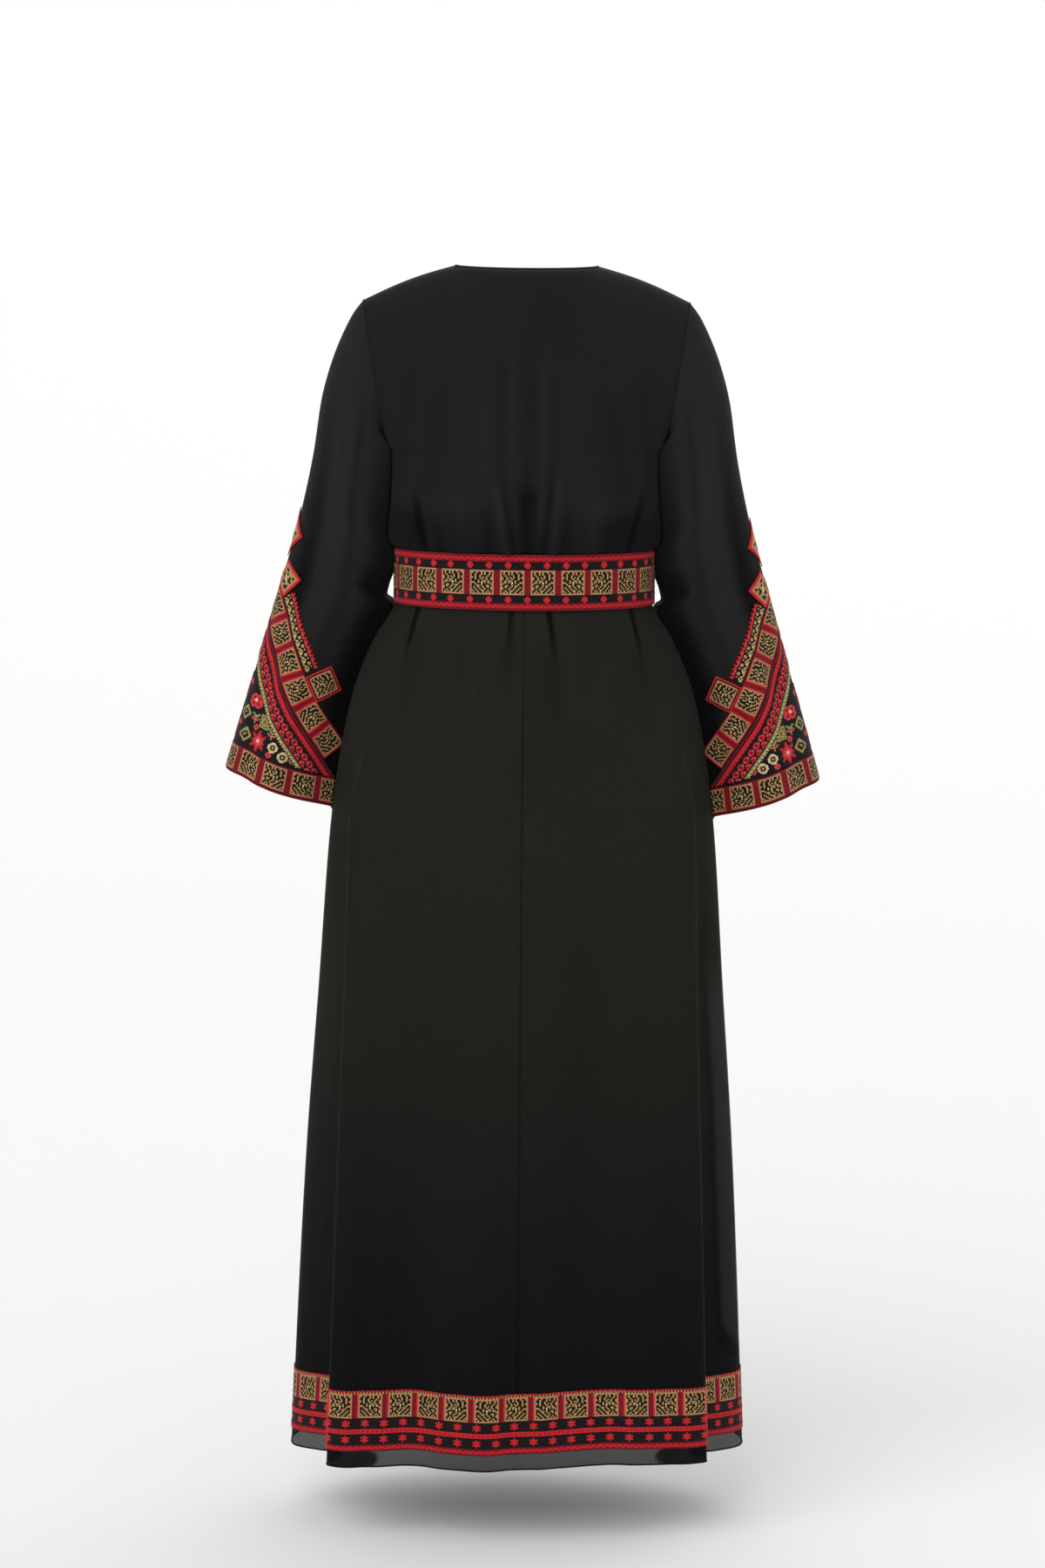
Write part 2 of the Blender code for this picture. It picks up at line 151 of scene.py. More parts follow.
# The same for the skirt, with half the width between the side folds and their tuck, 0 to 1
SKIRT = (
    ("z", "half", "back", "front", "edge", "tuck"),
    (-351.3, 157.4, 108, 104.5, 124, 0),
    (-411.5, 157.6, 108.3, 104.8, 124.2, 0),
    (-424, 164, 115, 109, 129, 0),
    (-455, 183, 128, 117, 144, 0),
    (-520, 209, 141, 128, 165, 0),
    (-593, 225, 149, 134, 188, 0.12),
    (-655, 233.5, 151, 138, 209, 0.35),
    (-724, 239.5, 151, 141, 212, 0.55),
    (-877, 249, 150, 147, 216, 0.78),
    (-1087, 263.5, 150, 157, 223, 0.95),
    (-1266, 273, 152, 166, 229, 1),
    (-1464, 282.5, 155, 176, 235, 1),
)

# How far the skirt's oval is moved in x and y, at degrees round from the centre back, where
# the side folds are tucked in fully
SKIRT_PLAN = (
    ("angle", "out_x", "out_y"),
    (0, 0, 0),
    (26, 4, 3),
    (52, 0, 21),
    (66, -40, 15),
    (90, 0, 0),
    (132, 0, 0),
    (180, 0, 0),
)
FOLD_EDGE_ANGLE = 52
SIDE_SEAM_ANGLE = 66.0
BACK_FOLD_ANGLE = 44
BACK_FOLD_FADE = 10
PLEAT_ANGLE = 18
PLEAT_Z = (-600, -500)
FRONT_FOLD_ANGLE = 112
FRONT_FOLD_FADE = 16

# The skirt's columns round from the centre back in degrees, and its rows
SKIRT_COLUMNS = (
    ("start", "end", "count"),
    (0, 40, 54),
    (40, 66, 47),
    (66, 120, 45),
    (120, 180, 35),
)
SKIRT_ROWS = (
    ("start", "end", "count"),
    (SKIRT_TOP, -396, 5),
    (-396, -540, 38),
    (-540, -1369, 86),
    (-1369, -1444, 12),
    (-1444, -1445, 1),
    (-1445, HEM_Z, 5),
)

# How far the hem hangs higher, at degrees round from the centre back to the left, and the
# heights between which it starts
HEM_RISE_Z = (-1150, -1450)
HEM_RISE = (
    ("angle", "rise"),
    (-180, 2),
    (-135, -2),
    (-104, -9),
    (-90, -11),
    (-78, -8),
    (-70, -2.5),
    (-58, -0.5),
    (-46, 1.5),
    (-40, 1),
    (-32.5, 2.3),
    (-25, 4.2),
    (-18.4, 3.4),
    (-11.6, 1.4),
    (-5.3, 0.8),
    (1, -1.2),
    (7.5, -1.7),
    (13.9, -1.2),
    (20.5, -0.8),
    (27.6, -2.4),
    (35, -5),
    (43.5, -7.2),
    (50, -7.4),
    (58, -7),
    (70, -6.5),
    (78, -11),
    (90, -15),
    (104, -12),
    (135, -3),
    (180, 2),
)

# Sections of the sleeve from the armhole to the cuff
SLEEVE = (
    ("outer_x", "outer_z", "inner_z", "depth", "y"),
    (199, -43, -222, 61, 0),
    (210, -57, -229, 61, 0),
    (226, -88, -238, 60, -2),
    (239, -122, -250, 59, -4),
    (250, -163, -268, 57, -7),
    (260, -229, -302, 55, -12),
    (275, -300, -356, 53, -18),
    (297, -380, -427, 52, -24),
    (322, -464, -505, 52, -29),
    (346, -545, -590, 53, -33),
    (369, -622, -673, 56, -36),
)

# Folds and creases: the upper end, the lower end, half width, how far the cloth stands out
# there (less than 0 for a trough), and how much one side of it stands above the other
FOLD = ("x", "z", "low_x", "low_z", "width", "rise", "lean")
BODICE_BACK_FOLDS = (
    FOLD,
    (-6, -70, -4, -342, 9, -3, 0),
    (138, -285, 124, -342, 12, -6, 0),
    (-126, -285, -112, -342, 12, -6, 0),
    (78, -290, 72, -342, 12, -3, 0),
    (-2, -252, -5, -372, 17, -7, 0),
    (27, -262, 11, -356, 3.4, -3.5, 0.3),
    (-33, -250, -27, -356, 3.4, -3.5, -0.3),
    (33, -248, 14, -366, 6, 6, 0.8),
    (-41, -240, -28, -366, 6, 6, -0.8),
    (10, -268, 4, -366, 5, 3, 0.4),
    (-18, -262, -12, -366, 5, 2.5, -0.4),
    (52, -278, 40, -366, 8, -4, -0.6),
    (-60, -276, -46, -366, 8, -4, 0.6),
    (78, -262, 66, -366, 8, 3, 0.5),
    (-86, -268, -74, -366, 8, 3, -0.5),
    (133, -262, 112, -356, 6, -6.5, 0.9),
    (-145, -258, -118, -356, 6, -6.5, -0.9),
    (108, -292, 92, -356, 7, -3.5, 0.6),
    (-104, -290, -90, -356, 7, -3.5, -0.6),
    (12, -60, 9, -330, 5, 2.2, 0.3),
    (-22, -90, -20, -330, 5, 2.4, -0.3),
    (-34, -120, -37, -320, 5, -1.8, 0),
    (26, -100, 29, -320, 6, -1.8, 0),
    (45, -120, 52, -300, 9, 1.6, 0),
    (-56, -130, -62, -300, 9, 1.6, 0),
    (96, -130, 118, -300, 14, -2.6, 0.2),
    (-96, -140, -122, -300, 14, -2.8, -0.2),
    (140, -110, 150, -280, 9, -2.6, 0),
    (-140, -115, -152, -280, 9, -2.6, 0),
)
BODICE_FRONT_FOLDS = (
    FOLD,
    (40, -240, 34, -342, 14, -4, 0),
    (-44, -236, -36, -342, 14, -4, 0),
    (112, -270, 104, -342, 14, -5, 0),
    (-108, -274, -100, -342, 14, -5, 0),
    (6, -150, 4, -340, 6, -1.4, 0.3),
    (42, -262, 30, -352, 5, -3.6, 0.4),
    (-40, -256, -30, -352, 5, -3.8, -0.4),
    (80, -280, 70, -346, 6, -2.2, 0.3),
    (-76, -284, -68, -346, 6, -2.4, -0.3),
    (126, -286, 114, -346, 6, -3, 0.3),
    (-128, -282, -114, -346, 6, -3, -0.3),
    (90, -140, 112, -300, 14, -1.5, 0.2),
    (-92, -136, -114, -300, 14, -1.5, -0.2),
)
SKIRT_BACK_FOLDS = (
    FOLD,
    (118, -411, 152, -580, 11, -6, 0),
    (66, -411, 78, -560, 12, -3, 0),
    (14, -411, 18, -540, 10, -5, 0),
    (-26, -411, -46, -600, 11, -5, 0),
    (-78, -411, -90, -540, 12, -3, 0),
    (-126, -411, -160, -580, 11, -6, 0),
    (-88, -700, -58, -1560, 30, -9, 0),
    (48, -900, 50, -1900, 42, 12, 0),
    (136, -1000, 142, -1900, 34, -8, 0),
    (120, -392, 146, -490, 3.6, -5.5, 1.2),
    (16, -392, 19, -470, 3.4, -4.5, -1.0),
    (-25, -392, -40, -490, 3.6, -5.5, -1.2),
    (-122, -392, -146, -490, 3.6, -5.0, -1.2),
    (-4, -430, -18, -640, 9, -2.2, -0.4),
    (-44, -440, -50, -620, 9, -1.8, 0.3),
    (58, -430, 66, -600, 9, 1.6, 0),
    (-86, -430, -100, -600, 9, 1.6, 0),
    (178, -1010, 196, -1900, 16, -3.5, 0.3),
    (-178, -1000, -198, -1900, 16, -3.5, -0.3),
    (92, -1180, 98, -1900, 18, 4, 0),
    (6, -1240, 4, -1900, 16, -4, 0.2),
    (-30, -1160, -26, -1900, 15, 4, -0.2),
    (-136, -1200, -142, -1900, 18, 4, 0),
)
SKIRT_FRONT_FOLDS = (
    FOLD,
    (110, -411, 140, -600, 14, -6, 0),
    (40, -411, 52, -640, 14, -5, 0),
    (-36, -411, -50, -620, 14, -5, 0),
    (-106, -411, -138, -600, 14, -6, 0),
    (90, -760, 104, -1900, 36, -10, 0),
    (-10, -860, -14, -1900, 40, 9, 0),
    (-112, -740, -124, -1900, 36, -10, 0),
    (108, -396, 136, -500, 4.2, -3.2, 0.9),
    (38, -396, 46, -520, 4.2, -3.2, 0.8),
    (-34, -396, -44, -510, 4.2, -3.2, -0.8),
    (-104, -396, -134, -500, 4.2, -3.2, -0.9),
    (72, -430, 84, -640, 10, 1.8, 0),
    (-70, -430, -82, -640, 10, 1.8, 0),
    (40, -1050, 46, -1900, 17, -4, 0.3),
    (-62, -1000, -68, -1900, 17, -4, -0.3),
    (150, -1100, 162, -1900, 20, 4, 0.2),
    (-160, -1080, -172, -1900, 20, 4, -0.2),
)

# Long folds of a sleeve: place round it in degrees from the overarm line by the front, half
# width in degrees, rise at the cuff, where it starts and is whole, as shares of its length
SLEEVE_FOLDS = (
    ("angle", "width", "rise", "start", "full"),
    (312, 15, -4, 0.22, 0.84),
    (272, 15, 3, 0.22, 0.84),
    (232, 15, -4, 0.22, 0.84),
    (128, 18, -4, 0.22, 0.84),
    (78, 18, 3, 0.22, 0.84),
    (42, 15, -4, 0.22, 0.84),
    (292, 6, 1.2, 0.05, 0.5),
    (262, 5, -1.4, 0.02, 0.4),
    (248, 6, 1.3, 0.2, 0.6),
    (216, 6, -1.6, 0.1, 0.6),
    (110, 6, 1.2, 0.1, 0.6),
    (62, 6, -1.4, 0.05, 0.5),
    (94, 5, -1.2, 0.02, 0.4),
)

# How far open the gap between sleeve and belt is, 0 to 1, at heights
GAP_OPEN = (("z", "open"), (-424, 0), (-415, 0.3), (-405, 1), (-372, 0))

# Each sleeve's side, and how far its cuff hangs lower
SLEEVE_SIDES = (("left", 1, 0.0), ("right", -1, RIGHT_SLEEVE_DROP))

# Where one layer of the skirt shows at a side: its middle and half width in degrees round from the centre
# back, the heights where it starts, its rounded end, how much of it shows on the left, and how much lighter
# it is painted there, as painted light in place of the light it lets through
SHEER_MIDDLE = 96.0
SHEER_HALF = 18.0
SHEER_SOFT = 0.18
SHEER_Z = (-760, -920)
SHEER_END = -1352.0
SHEER_ROUND = 26
SHEER_END_SOFT = 8
SHEER_LEFT = 0.3
SHEER_LIGHT = 0.9

# Where the sheer hem is double: its half width and middle in degrees, how round its ends are,
# the middle and half of its height over the hem, and how much of the light it takes away
HEM_FACING = 9.0
FACING_ANGLE = 43
FACING_ROUND = 2.6
FACING_MIDDLE = 10
FACING_HALF = 10.5
FACING_SOFT = 0.15
FACING_SHADE = 0.72

# Stitches: their size, how uneven their height in mm and their dye are, and where and how
# often the patterns repeat
STITCH = 1.98
STITCH_SEED = 11
STITCH_UNEVEN = 0.12
DYE_UNEVEN = 0.16
BELT_START = -4.0
BELT_THICK = 2.0
BELT_WALL = 1.0
BELT_ROWS = 33
BELT_STITCHES = 437
BELT_STARS = 36
HEM_ROWS = 38
HEM_BAR = -11
HEM_FRONT_BAR = 7
HEM_STAR_STEP = 12
BAND_INSET = 0.06
DIAMOND_LIFT = 0.35
DIAMOND_SIDE = 19
CUFF_CORD = 0.9
BELT_CORD = 1.1

# The studio: heights and radii in metres, and the camera at the photo's place
FLOOR_Z = -1.561
FLOOR_RING = 2.0
FLOOR_RADIUS = 4.5
WALL_RADIUS = 12.0
WALL_HEIGHT = 5.0
WALL_STEPS = 24
STAGE_SIDES = 96
LENS = 100.92
SENSOR = 36.0
CAMERA_PLACE = (0.0, 5.39, 0.0789)
CAMERA_DOWN = 7.563
CAMERA_ROLL = 0.5
# The light from all round, and two soft lamps: the way they face in degrees, how far they look
# down, strength and softness
ROOM_LIGHT = "#fffdfb"
LIGHTS = (
    ("name", "turn", "tilt", "power", "spread"),
    ("key_light", 150, 38, 1.4, 56),
    ("back_light", -30, 48, 0.6, 70),
)

# How much darker the cloth is painted for each mm of a fold's depth, as painted shade in a trough and a
# painted highlight on a ridge, with its least and its most, how many times that on a sleeve, and the
# painted shade along a seam. Wide folds of the skirt count as if they were no wider than CRISP, and the
# bodice's folds are faint at its top
HOLLOW_SHADE = 0.065
HOLLOW_LIMITS = (-0.3, 0.75)
SLEEVE_SHADE = 3
SEAM_SHADE = 0.32
CRISP = 6.0
FOLD_STRENGTH = ((-180, 40), (1, 0))

# The painted shade where the bodice turns in above the belt, in its middle and more at its sides
BLOUSE_SHADE = 0.5
BLOUSE_Z = -288.0
BLOUSE_REACH = 42
BLOUSE_HALF = 160
BLOUSE_CURVE = 0.4
BLOUSE_MIDDLE = 0.7
BLOUSE_SIDES = 0.5

# The painted shade beside the skirt's side folds: its middle and width in degrees, and where it starts
SIDE_SHADE = 0.4
SIDE_SHADE_ANGLE = 57
SIDE_SHADE_WIDTH = 7
SIDE_SHADE_Z = (-540, -660)

# The upper skirt is painted warmer, as painted warm light, between heights in metres
PAINTED_WARM_LIGHT = (1.14, 1.13, 0.76)
UPPER_LOW = (-1.35, -0.95)
UPPER_HIGH = (-0.40, -0.42)

# The tint of each cloth, and the heights between which it gets darker to a share, lower down, as painted
# shade. The chiffon's lighter, warm tint is painted light, for what shows through a sleeve
CREPE_LOOK = ((1.0, 1.0, 1.0), -1.40, -0.90, 0.3)
CHIFFON_LOOK = ((1.55, 1.45, 1.32), -0.52, -0.18, 0.62)

# The filling of an embroidered square, which every second square has the other way round, a
# framed square that is set apart, and the two kinds of star, in stitches. r red, d dark red,
# g gold, c cream, o copper, k dark ground and . nothing. The set apart ones are drawn with
# each stitch doubled, as finer flecks than 3 mm don't show on the arm's far side.
SQUARE = (
    "kgkkgkgkkgkkg",
    "kgkkgkgkkkgkk",
    "kkgkkkkgkkgkk",
    "gkkgkgkgkkgkg",
    "gkkgkkgkkkgkk",
    "kkgkggkkgkkkk",
    "kggkgkckgkkgg",
    "gkkkkkgkkkgkk",
    "kkggkkgkggkkk",
    "gkgkkgkkgkkgk",
    "gkkkgkkgkkgkk",
    "kkgkkggkkgkkg",
    "kgkgkgkkgkkgk",
)
SQUARE_SIDE = len(SQUARE) + 2
DIAMOND = (
    "rrrrrrrrrr",
    "roooooooor",
    "rokgkkgkor",
    "roggkggkor",
    "rokkgckgor",
    "rogkcgggor",
    "rokggkkgor",
    "rokkgkgkor",
    "roooooooor",
    "rrrrrrrrrr",
)
BELT_STAR = (".rr.", "rrrr", "rrrr", ".rr.")
HEM_STAR = ("..r..", "rrrrr", ".rrr.", "rrrrr", "..r..")


def column(table, name):
    """The numbers of one named column of a table."""
    place = table[0].index(name)
    return np.array([row[place] for row in table[1:]], float)


def smooth_curve(place, value, at):
    """A curve through the points (place, value) that doesn't overshoot them, read at 'at'."""
    order = np.argsort(place)
    place, value = place[order], value[order]
    step = np.diff(place)
    slope = np.diff(value) / step
    lean = np.zeros(len(value))
    same = slope[1:] * slope[:-1] > 0
    both = np.where(same, slope[1:] + slope[:-1], 1)
    lean[1:-1] = np.where(same, 2 * slope[1:] * slope[:-1] / both, 0)
    lean[0], lean[-1] = slope[0], slope[-1]
    at = np.clip(at, place[0], place[-1])
    i = np.clip(np.searchsorted(place, at) - 1, 0, len(step) - 1)
    t = (at - place[i]) / step[i]
    start = (1 + 2 * t) * (1 - t) ** 2 * value[i] + t * (1 - t) ** 2 * step[i] * lean[i]
    end = t * t * (3 - 2 * t) * value[i + 1] - t * t * (1 - t) * step[i] * lean[i + 1]
    return start + end


def read(table, name, z):
    """A column of a table whose rows are heights, read at the heights z."""
    return smooth_curve(column(table, "z"), column(table, name), z)


def smooth_step(t):
    """0 up to t = 0, 1 from t = 1, and a soft rise between."""
    t = np.clip(t, 0, 1)
    return t * t * (3 - 2 * t)


def soft(value, zero, one):
    """0 at one value, 1 at another, and a soft change between."""
    return smooth_step((value - zero) / (one - zero))


def spans(table):
    """Places at equal steps through each span of a table, from the first one's start."""
    parts = [np.linspace(start, end, count + 1)[1:] for start, end, count in table[1:]]
    return np.concatenate([[table[1][0]], *parts])


def lengths(line):
    """How far along a line each of its points is."""
    return np.concatenate([[0], np.cumsum(np.linalg.norm(np.diff(line, axis=0), axis=1))])


def folds(table, x, z, ease=30.0, fade=0.6, turn=1.6, gentle=7, crisp=None):
    """How far the folds of a table raise the cloth at x and z. A fold starts over the height
    'ease', or 'gentle' widths if that is more, and dies away over the share 'fade' of its
    length. With 'crisp', folds wider than that count less."""
    rise = np.zeros(np.broadcast(x, z).shape)
    for top_x, top, low_x, low, width, height, lean in table[1:]:
        middle = top_x + (low_x - top_x) * (z - top) / (low - top)
        off = (x - middle) / width
        if crisp:
            height = height * min(1, crisp / width) ** 1.5
        begin = smooth_step((top - z) / min(max(ease, gentle * width), 0.4 * (top - low)))
        end = smooth_step((z - low) / (fade * (top - low)))
        rise = rise + height * begin * end * np.exp(-(off**2)) * (1 + lean * turn * off)
    return rise


def normals(grid, closed):
    """Outward unit normals of a grid of points. A closed grid's last column joins its first."""
    down = np.gradient(grid, axis=0)
    if closed:
        across = np.roll(grid, -1, axis=1) - np.roll(grid, 1, axis=1)
    else:
        across = np.gradient(grid, axis=1)
    out = np.cross(across, down)
    return out / np.linalg.norm(out, axis=2, keepdims=True)


def bodice_folds(x, z, side):
    """The rise of the bodice's folds at x and z."""
    table = BODICE_BACK_FOLDS if side == "back" else BODICE_FRONT_FOLDS
    return folds(table, x, z, fade=0.2, gentle=1)


def bodice_lower(angle, z, side):
    """Points of the bodice below the underarm, at angles from the centre of its side."""
    half, out = read(BODICE, "half", z), read(BODICE, side, z)
    power = 2 / read(BODICE, "square", z)
    x = half * np.sign(angle) * np.abs(np.sin(angle)) ** power
    y = out * np.abs(np.cos(angle)) ** power
    y = y + bodice_folds(x, z, side) * soft(z, *BLOUSE_HELD) * np.cos(angle)
    return np.stack([x, y, z + 0 * x], axis=-1)


def bodice_upper(angle, height, side):
    """Points of the bodice above the underarm, at the same angles. height is 0 at the
    underarm and 1 at the neck and shoulder line."""
    u = angle / (math.pi / 2)
    across = np.abs(u)
    past = np.clip((across - NECK_SHARE) / (1 - NECK_SHARE), 0, 1)
    in_top = NECK_HALF * across / NECK_SHARE
    past_top = NECK_HALF + (SHOULDER_HALF - NECK_HALF) * past
    top_x = np.where(across < NECK_SHARE, in_top, past_top)
    in_neck = np.sqrt(np.clip(1 - (top_x / NECK_HALF) ** 2, 0, 1))
    in_neck = in_neck**2 + (in_neck - in_neck**2) * height**NECK_CORNER
    reach, drop = (NECK_BACK, NECK_BACK_DROP) if side == "back" else (NECK_FRONT, NECK_FRONT_DROP)
    top_y = reach * in_neck + SHOULDER_SEAM
    top_z = SHOULDER_ARCH * np.sin(math.pi * past) - SHOULDER_DROP * past - drop * in_neck
    power = 2 / read(BODICE, "square", UNDERARM_Z)
    low_x = UNDERARM_HALF * np.abs(np.sin(angle)) ** power
    low_y = read(BODICE, side, UNDERARM_Z) * np.abs(np.cos(angle)) ** power
    x = np.sign(u) * (low_x + (top_x - low_x) * height)
    z = UNDERARM_Z + (top_z - UNDERARM_Z) * height
    round_over = np.sqrt(np.clip(1 - height**SHOULDER_ROUND, 0, 1))
    y = top_y + (low_y - top_y) * round_over
    swell = 2 * np.sqrt(np.clip(height * (1 - height), 0, 1))
    y = y + ARMHOLE_DEPTH * across**ARMHOLE_BLEND * swell
    y = y + bodice_folds(x, z, side) * np.cos(angle) * (1 - height)
    return np.stack([x, y, z], axis=-1)


def skirt_outline(angle, z):
    """Points of the skirt at degrees round from the centre back, from -180 to 180, and at
    heights z."""
    knots = column(SKIRT_PLAN, "angle")
    half, tuck = read(SKIRT, "half", z), read(SKIRT, "tuck", z)
    turn = np.radians(knots)
    px, py = [], []
    for k in range(len(knots)):
        out = read(SKIRT, "back" if math.cos(turn[k]) > 0 else "front", z)
        across = half * math.sin(turn[k]) + tuck * column(SKIRT_PLAN, "out_x")[k]
        px.append(read(SKIRT, "edge", z) if knots[k] == FOLD_EDGE_ANGLE else across)
        py.append(out * math.cos(turn[k]) + tuck * column(SKIRT_PLAN, "out_y")[k])
    around = np.abs(angle)
    i = np.clip(np.searchsorted(knots, around, side="right") - 1, 0, len(knots) - 2)
    x = np.zeros(np.broadcast(angle, z).shape)
    y = np.zeros(x.shape)
    for k in range(len(knots) - 1):
        span = knots[k + 1] - knots[k]
        t = (around - knots[k]) / span
        here = i == k
        for values, result, mirror in ((px, x, -1), (py, y, 1)):
            lean = [knot_lean(values, knots, j, mirror) * span for j in (k, k + 1)]
            start = (1 + 2 * t) * (1 - t) ** 2 * values[k] + t * (1 - t) ** 2 * lean[0]
            end = t * t * (3 - 2 * t) * values[k + 1] - t * t * (1 - t) * lean[1]
            result += np.where(here, start + end, 0)
    return np.sign(angle) * x, y


def knot_lean(values, knots, k, mirror):
    """The slope of a closed, mirrored outline at its shaping point k."""
    last = len(knots) - 1
    before = values[k - 1] if k > 0 else mirror * values[1]
    after = values[k + 1] if k < last else mirror * values[last - 1]
    step_in = knots[k] - knots[k - 1] if k > 0 else knots[1]
    step_out = knots[k + 1] - knots[k] if k < last else knots[last] - knots[last - 1]
    slope_in = (values[k] - before) / step_in
    slope_out = (after - values[k]) / step_out
    return (slope_in * step_out + slope_out * step_in) / (step_in + step_out)


def skirt_grid(angle, levels):
    """The skirt's cloth at angles in degrees and heights in levels."""
    angle, z = np.asarray(angle, float)[None, :], np.asarray(levels, float)[:, None]
    x, y = skirt_outline(angle, z)
    back, front = skirt_folds(angle, x, z)
    return np.stack([x, y + back - front, z + 0 * x], axis=-1)


def skirt_folds(angle, x, z, crisp=None):
    """The rise of the skirt's folds on its back and on its front."""
    side = BACK_FOLD_ANGLE + PLEAT_ANGLE * soft(z, *PLEAT_Z)
    back = 1 - smooth_step((np.abs(angle) - side) / BACK_FOLD_FADE)
    front = smooth_step((np.abs(angle) - FRONT_FOLD_ANGLE) / FRONT_FOLD_FADE)
    return (
        back * folds(SKIRT_BACK_FOLDS, x, z, crisp=crisp),
        front * folds(SKIRT_FRONT_FOLDS, x, z, crisp=crisp),
    )


def sleeve_folds(turn, along):
    """The rise of a sleeve's folds at angles round it and shares of its length."""
    rise = np.zeros(np.broadcast(turn, along).shape)
    for place, width, height, start, full in SLEEVE_FOLDS[1:]:
        off = (np.degrees(turn) - place + 180) % 360 - 180
        growth = smooth_step((along - start) / (full - start))
        rise = rise + height * growth * np.exp(-((off / width) ** 2))
    return rise


def sleeve_grid(rows, columns, drop):
    """A sleeve as if on the left: rows from the armhole to the cuff, columns round it from
    the overarm line by the front. Its cuff hangs lower by drop."""
    station = np.arange(len(SLEEVE) - 1, dtype=float)
    at = np.linspace(0, station[-1], rows + 1)[:, None]
    part = {name: smooth_curve(station, column(SLEEVE, name), at) for name in SLEEVE[0]}
    body = np.where(
        part["inner_z"] > WAIST_Z,
        read(BODICE, "half", part["inner_z"]),
        read(SKIRT, "half", part["inner_z"]),
    )
    clear = SLEEVE_CLEARANCE * smooth_step(at / CLEAR_STATIONS) + SEAM
    gap = np.interp(part["inner_z"], column(GAP_OPEN, "z"), column(GAP_OPEN, "open"))
    inner_x = np.maximum(body, BELT_HALF) + clear + WAIST_GAP * gap
    inner_x = np.where(at == 0, UNDERARM_HALF + SEAM, inner_x)
    outer_x = part["outer_x"] + SEAM * (at == 0)
    turn = np.linspace(0, 2 * math.pi, columns + 1)[:-1][None, :]
    middle_x, reach_x = (outer_x + inner_x) / 2, (outer_x - inner_x) / 2
    middle_z = (part["outer_z"] + part["inner_z"]) / 2
    reach_z = (part["outer_z"] - part["inner_z"]) / 2
    along = at / station[-1]
    rise = sleeve_folds(turn, along)
    x = middle_x + (reach_x + rise) * np.cos(turn)
    y = part["y"] - (part["depth"] + rise) * np.sin(turn)
    z = middle_z + reach_z * np.cos(turn) - drop * along**2
    # The inner side lies round the body before and behind it, so that no light shows between
    held = soft(at, *WRAP_STATIONS) * (1 - gap)
    for place in WRAP_ANGLES:
        lean = np.exp(-(((np.degrees(turn) - place) / WRAP_WIDTH) ** 2))
        x = x - held * lean * (SLEEVE_WRAP + (1 - abs(math.cos(math.radians(place)))) * reach_x)
    beside = body_half(y, z) + BODY_CLEAR
    x = np.where((at > WRAP_STATIONS[0]) & (x < beside), beside, x)
    return np.stack([x, y, z], axis=-1)


def body_half(y, z):
    """The body's half width at places before and behind its middle."""
    size = []
    for table in (BODICE, SKIRT):
        out = np.where(y > 0, read(table, "back", z), read(table, "front", z))
        power = np.maximum(read(BODICE, "square", z) if table is BODICE else 2.0, 2.0)
        share = np.clip(1 - np.abs(y / out) ** power, 0, 1)
        size.append(read(table, "half", z) * share ** (1 / power))
    belt = BELT_HALF * np.sqrt(np.clip(1 - (y / BELT_FRONT) ** 2, 0, 1))
    at_belt = (z < BELT_TOP + BELT_NEAR) & (z > BELT_BOTTOM - BELT_NEAR)
    return np.maximum(np.where(z > WAIST_Z, size[0], size[1]), np.where(at_belt, belt, 0))


# Flat places on a sleeve: x round from the overarm line to the back, y up from the cuff edge.
# The middle line of the row of squares, which runs over the arm as an arch
SQUARE_ARCH = (
    ("x", "y"),
    (0, 226),
    (14, 218),
    (39, 188),
    (61, 161),
    (81, 134),
    (106, 106),
    (142, 76),
    (200, 30),
)
ARCH_STITCH = 1.875
ARCH_FLOOR = 34.3
ARCH_HALF = 118.5
DOTS_REACH = (26, 126)
SLEEVE_GROUND = "#19151a"

# How far the rows along the arch lie inside its middle line
ARCH_INSIDE = {"squares": 0, "red": 22.6, "loops": 37.4, "line": 48.4, "dots": -25.8}

# Framed squares set apart on the sleeve: place, turn in degrees, size of a stitch, and whether
# it has the coarse filling. Those beside the middle have a mirrored one
DIAMONDS = (
    ("x", "y", "turn", "stitch", "coarse"),
    (0, 307, 45, 2.35, True),
    (23, 251.5, 57, 1.75, True),
    (116.5, 143, 40, 1.85, False),
)

# Patterns in stitches. r red, d dark red, g gold, c cream, k dark ground, e green, p rose,
# o copper and . nothing
LOOPS = (
    "kkkkkk",
    "krrrkk",
    "prkrpk",
    "prkrpk",
    "krrrkk",
    "kkkkpp",
    "rkkprk",
    "rrkprr",
    "kkkkkk",
)
DOTS = ("r..r..", "rr.rrr", "pprpdr", "kkkkkk", "kggkgk", "kggkkk", "kkkkgg", "ckkckg", "gggkgg", "kkkkkk")
STAR = (
    "......rr......",
    "......rr......",
    ".r...rrrr...r.",
    ".rrr.rrrr.rrr.",
    "..rrrrpprrrr..",
    "...rrppppprr..",
    "..rrppccpprr..",
    ".rrrppccppprr.",
    "...rrppppprr..",
    "..rrrrpprrrr..",
    ".rrr.rrrr.rrr.",
    ".r...rrrr...r.",
    "......rr......",
    "......rr......",
)
ROUND = ("..ccc..", ".cgggc.", "cgkkkgc", "cgkckgc", "cgkkkgc", ".cgggc.", "..ccc..")
LEAF = (
    ".....ee....",
    "....egge...",
    "...eggkge..",
    "..egkkkkge.",
    ".egkkeekkge",
    "egkkeekkkge",
    ".egkkkkkge.",
    "..eggkkge..",
    "....egge...",
    ".....ee....",
)
SPRAY = ("ee...ee", ".eegee.", "..ege..", "pp.e.pp", ".ppepp.", "...e...", "...e...")
FLOWER = (
    "..ppp.ppp..",
    ".prrrprrrp.",
    "prrkrrrkrrp",
    "prrrccrrrrp",
    ".pprccrrpp.",
    "prrrrrrrrrp",
    "prrkrrrkrrp",
    ".prrrprrrp.",
    "..ppp.ppp..",
)
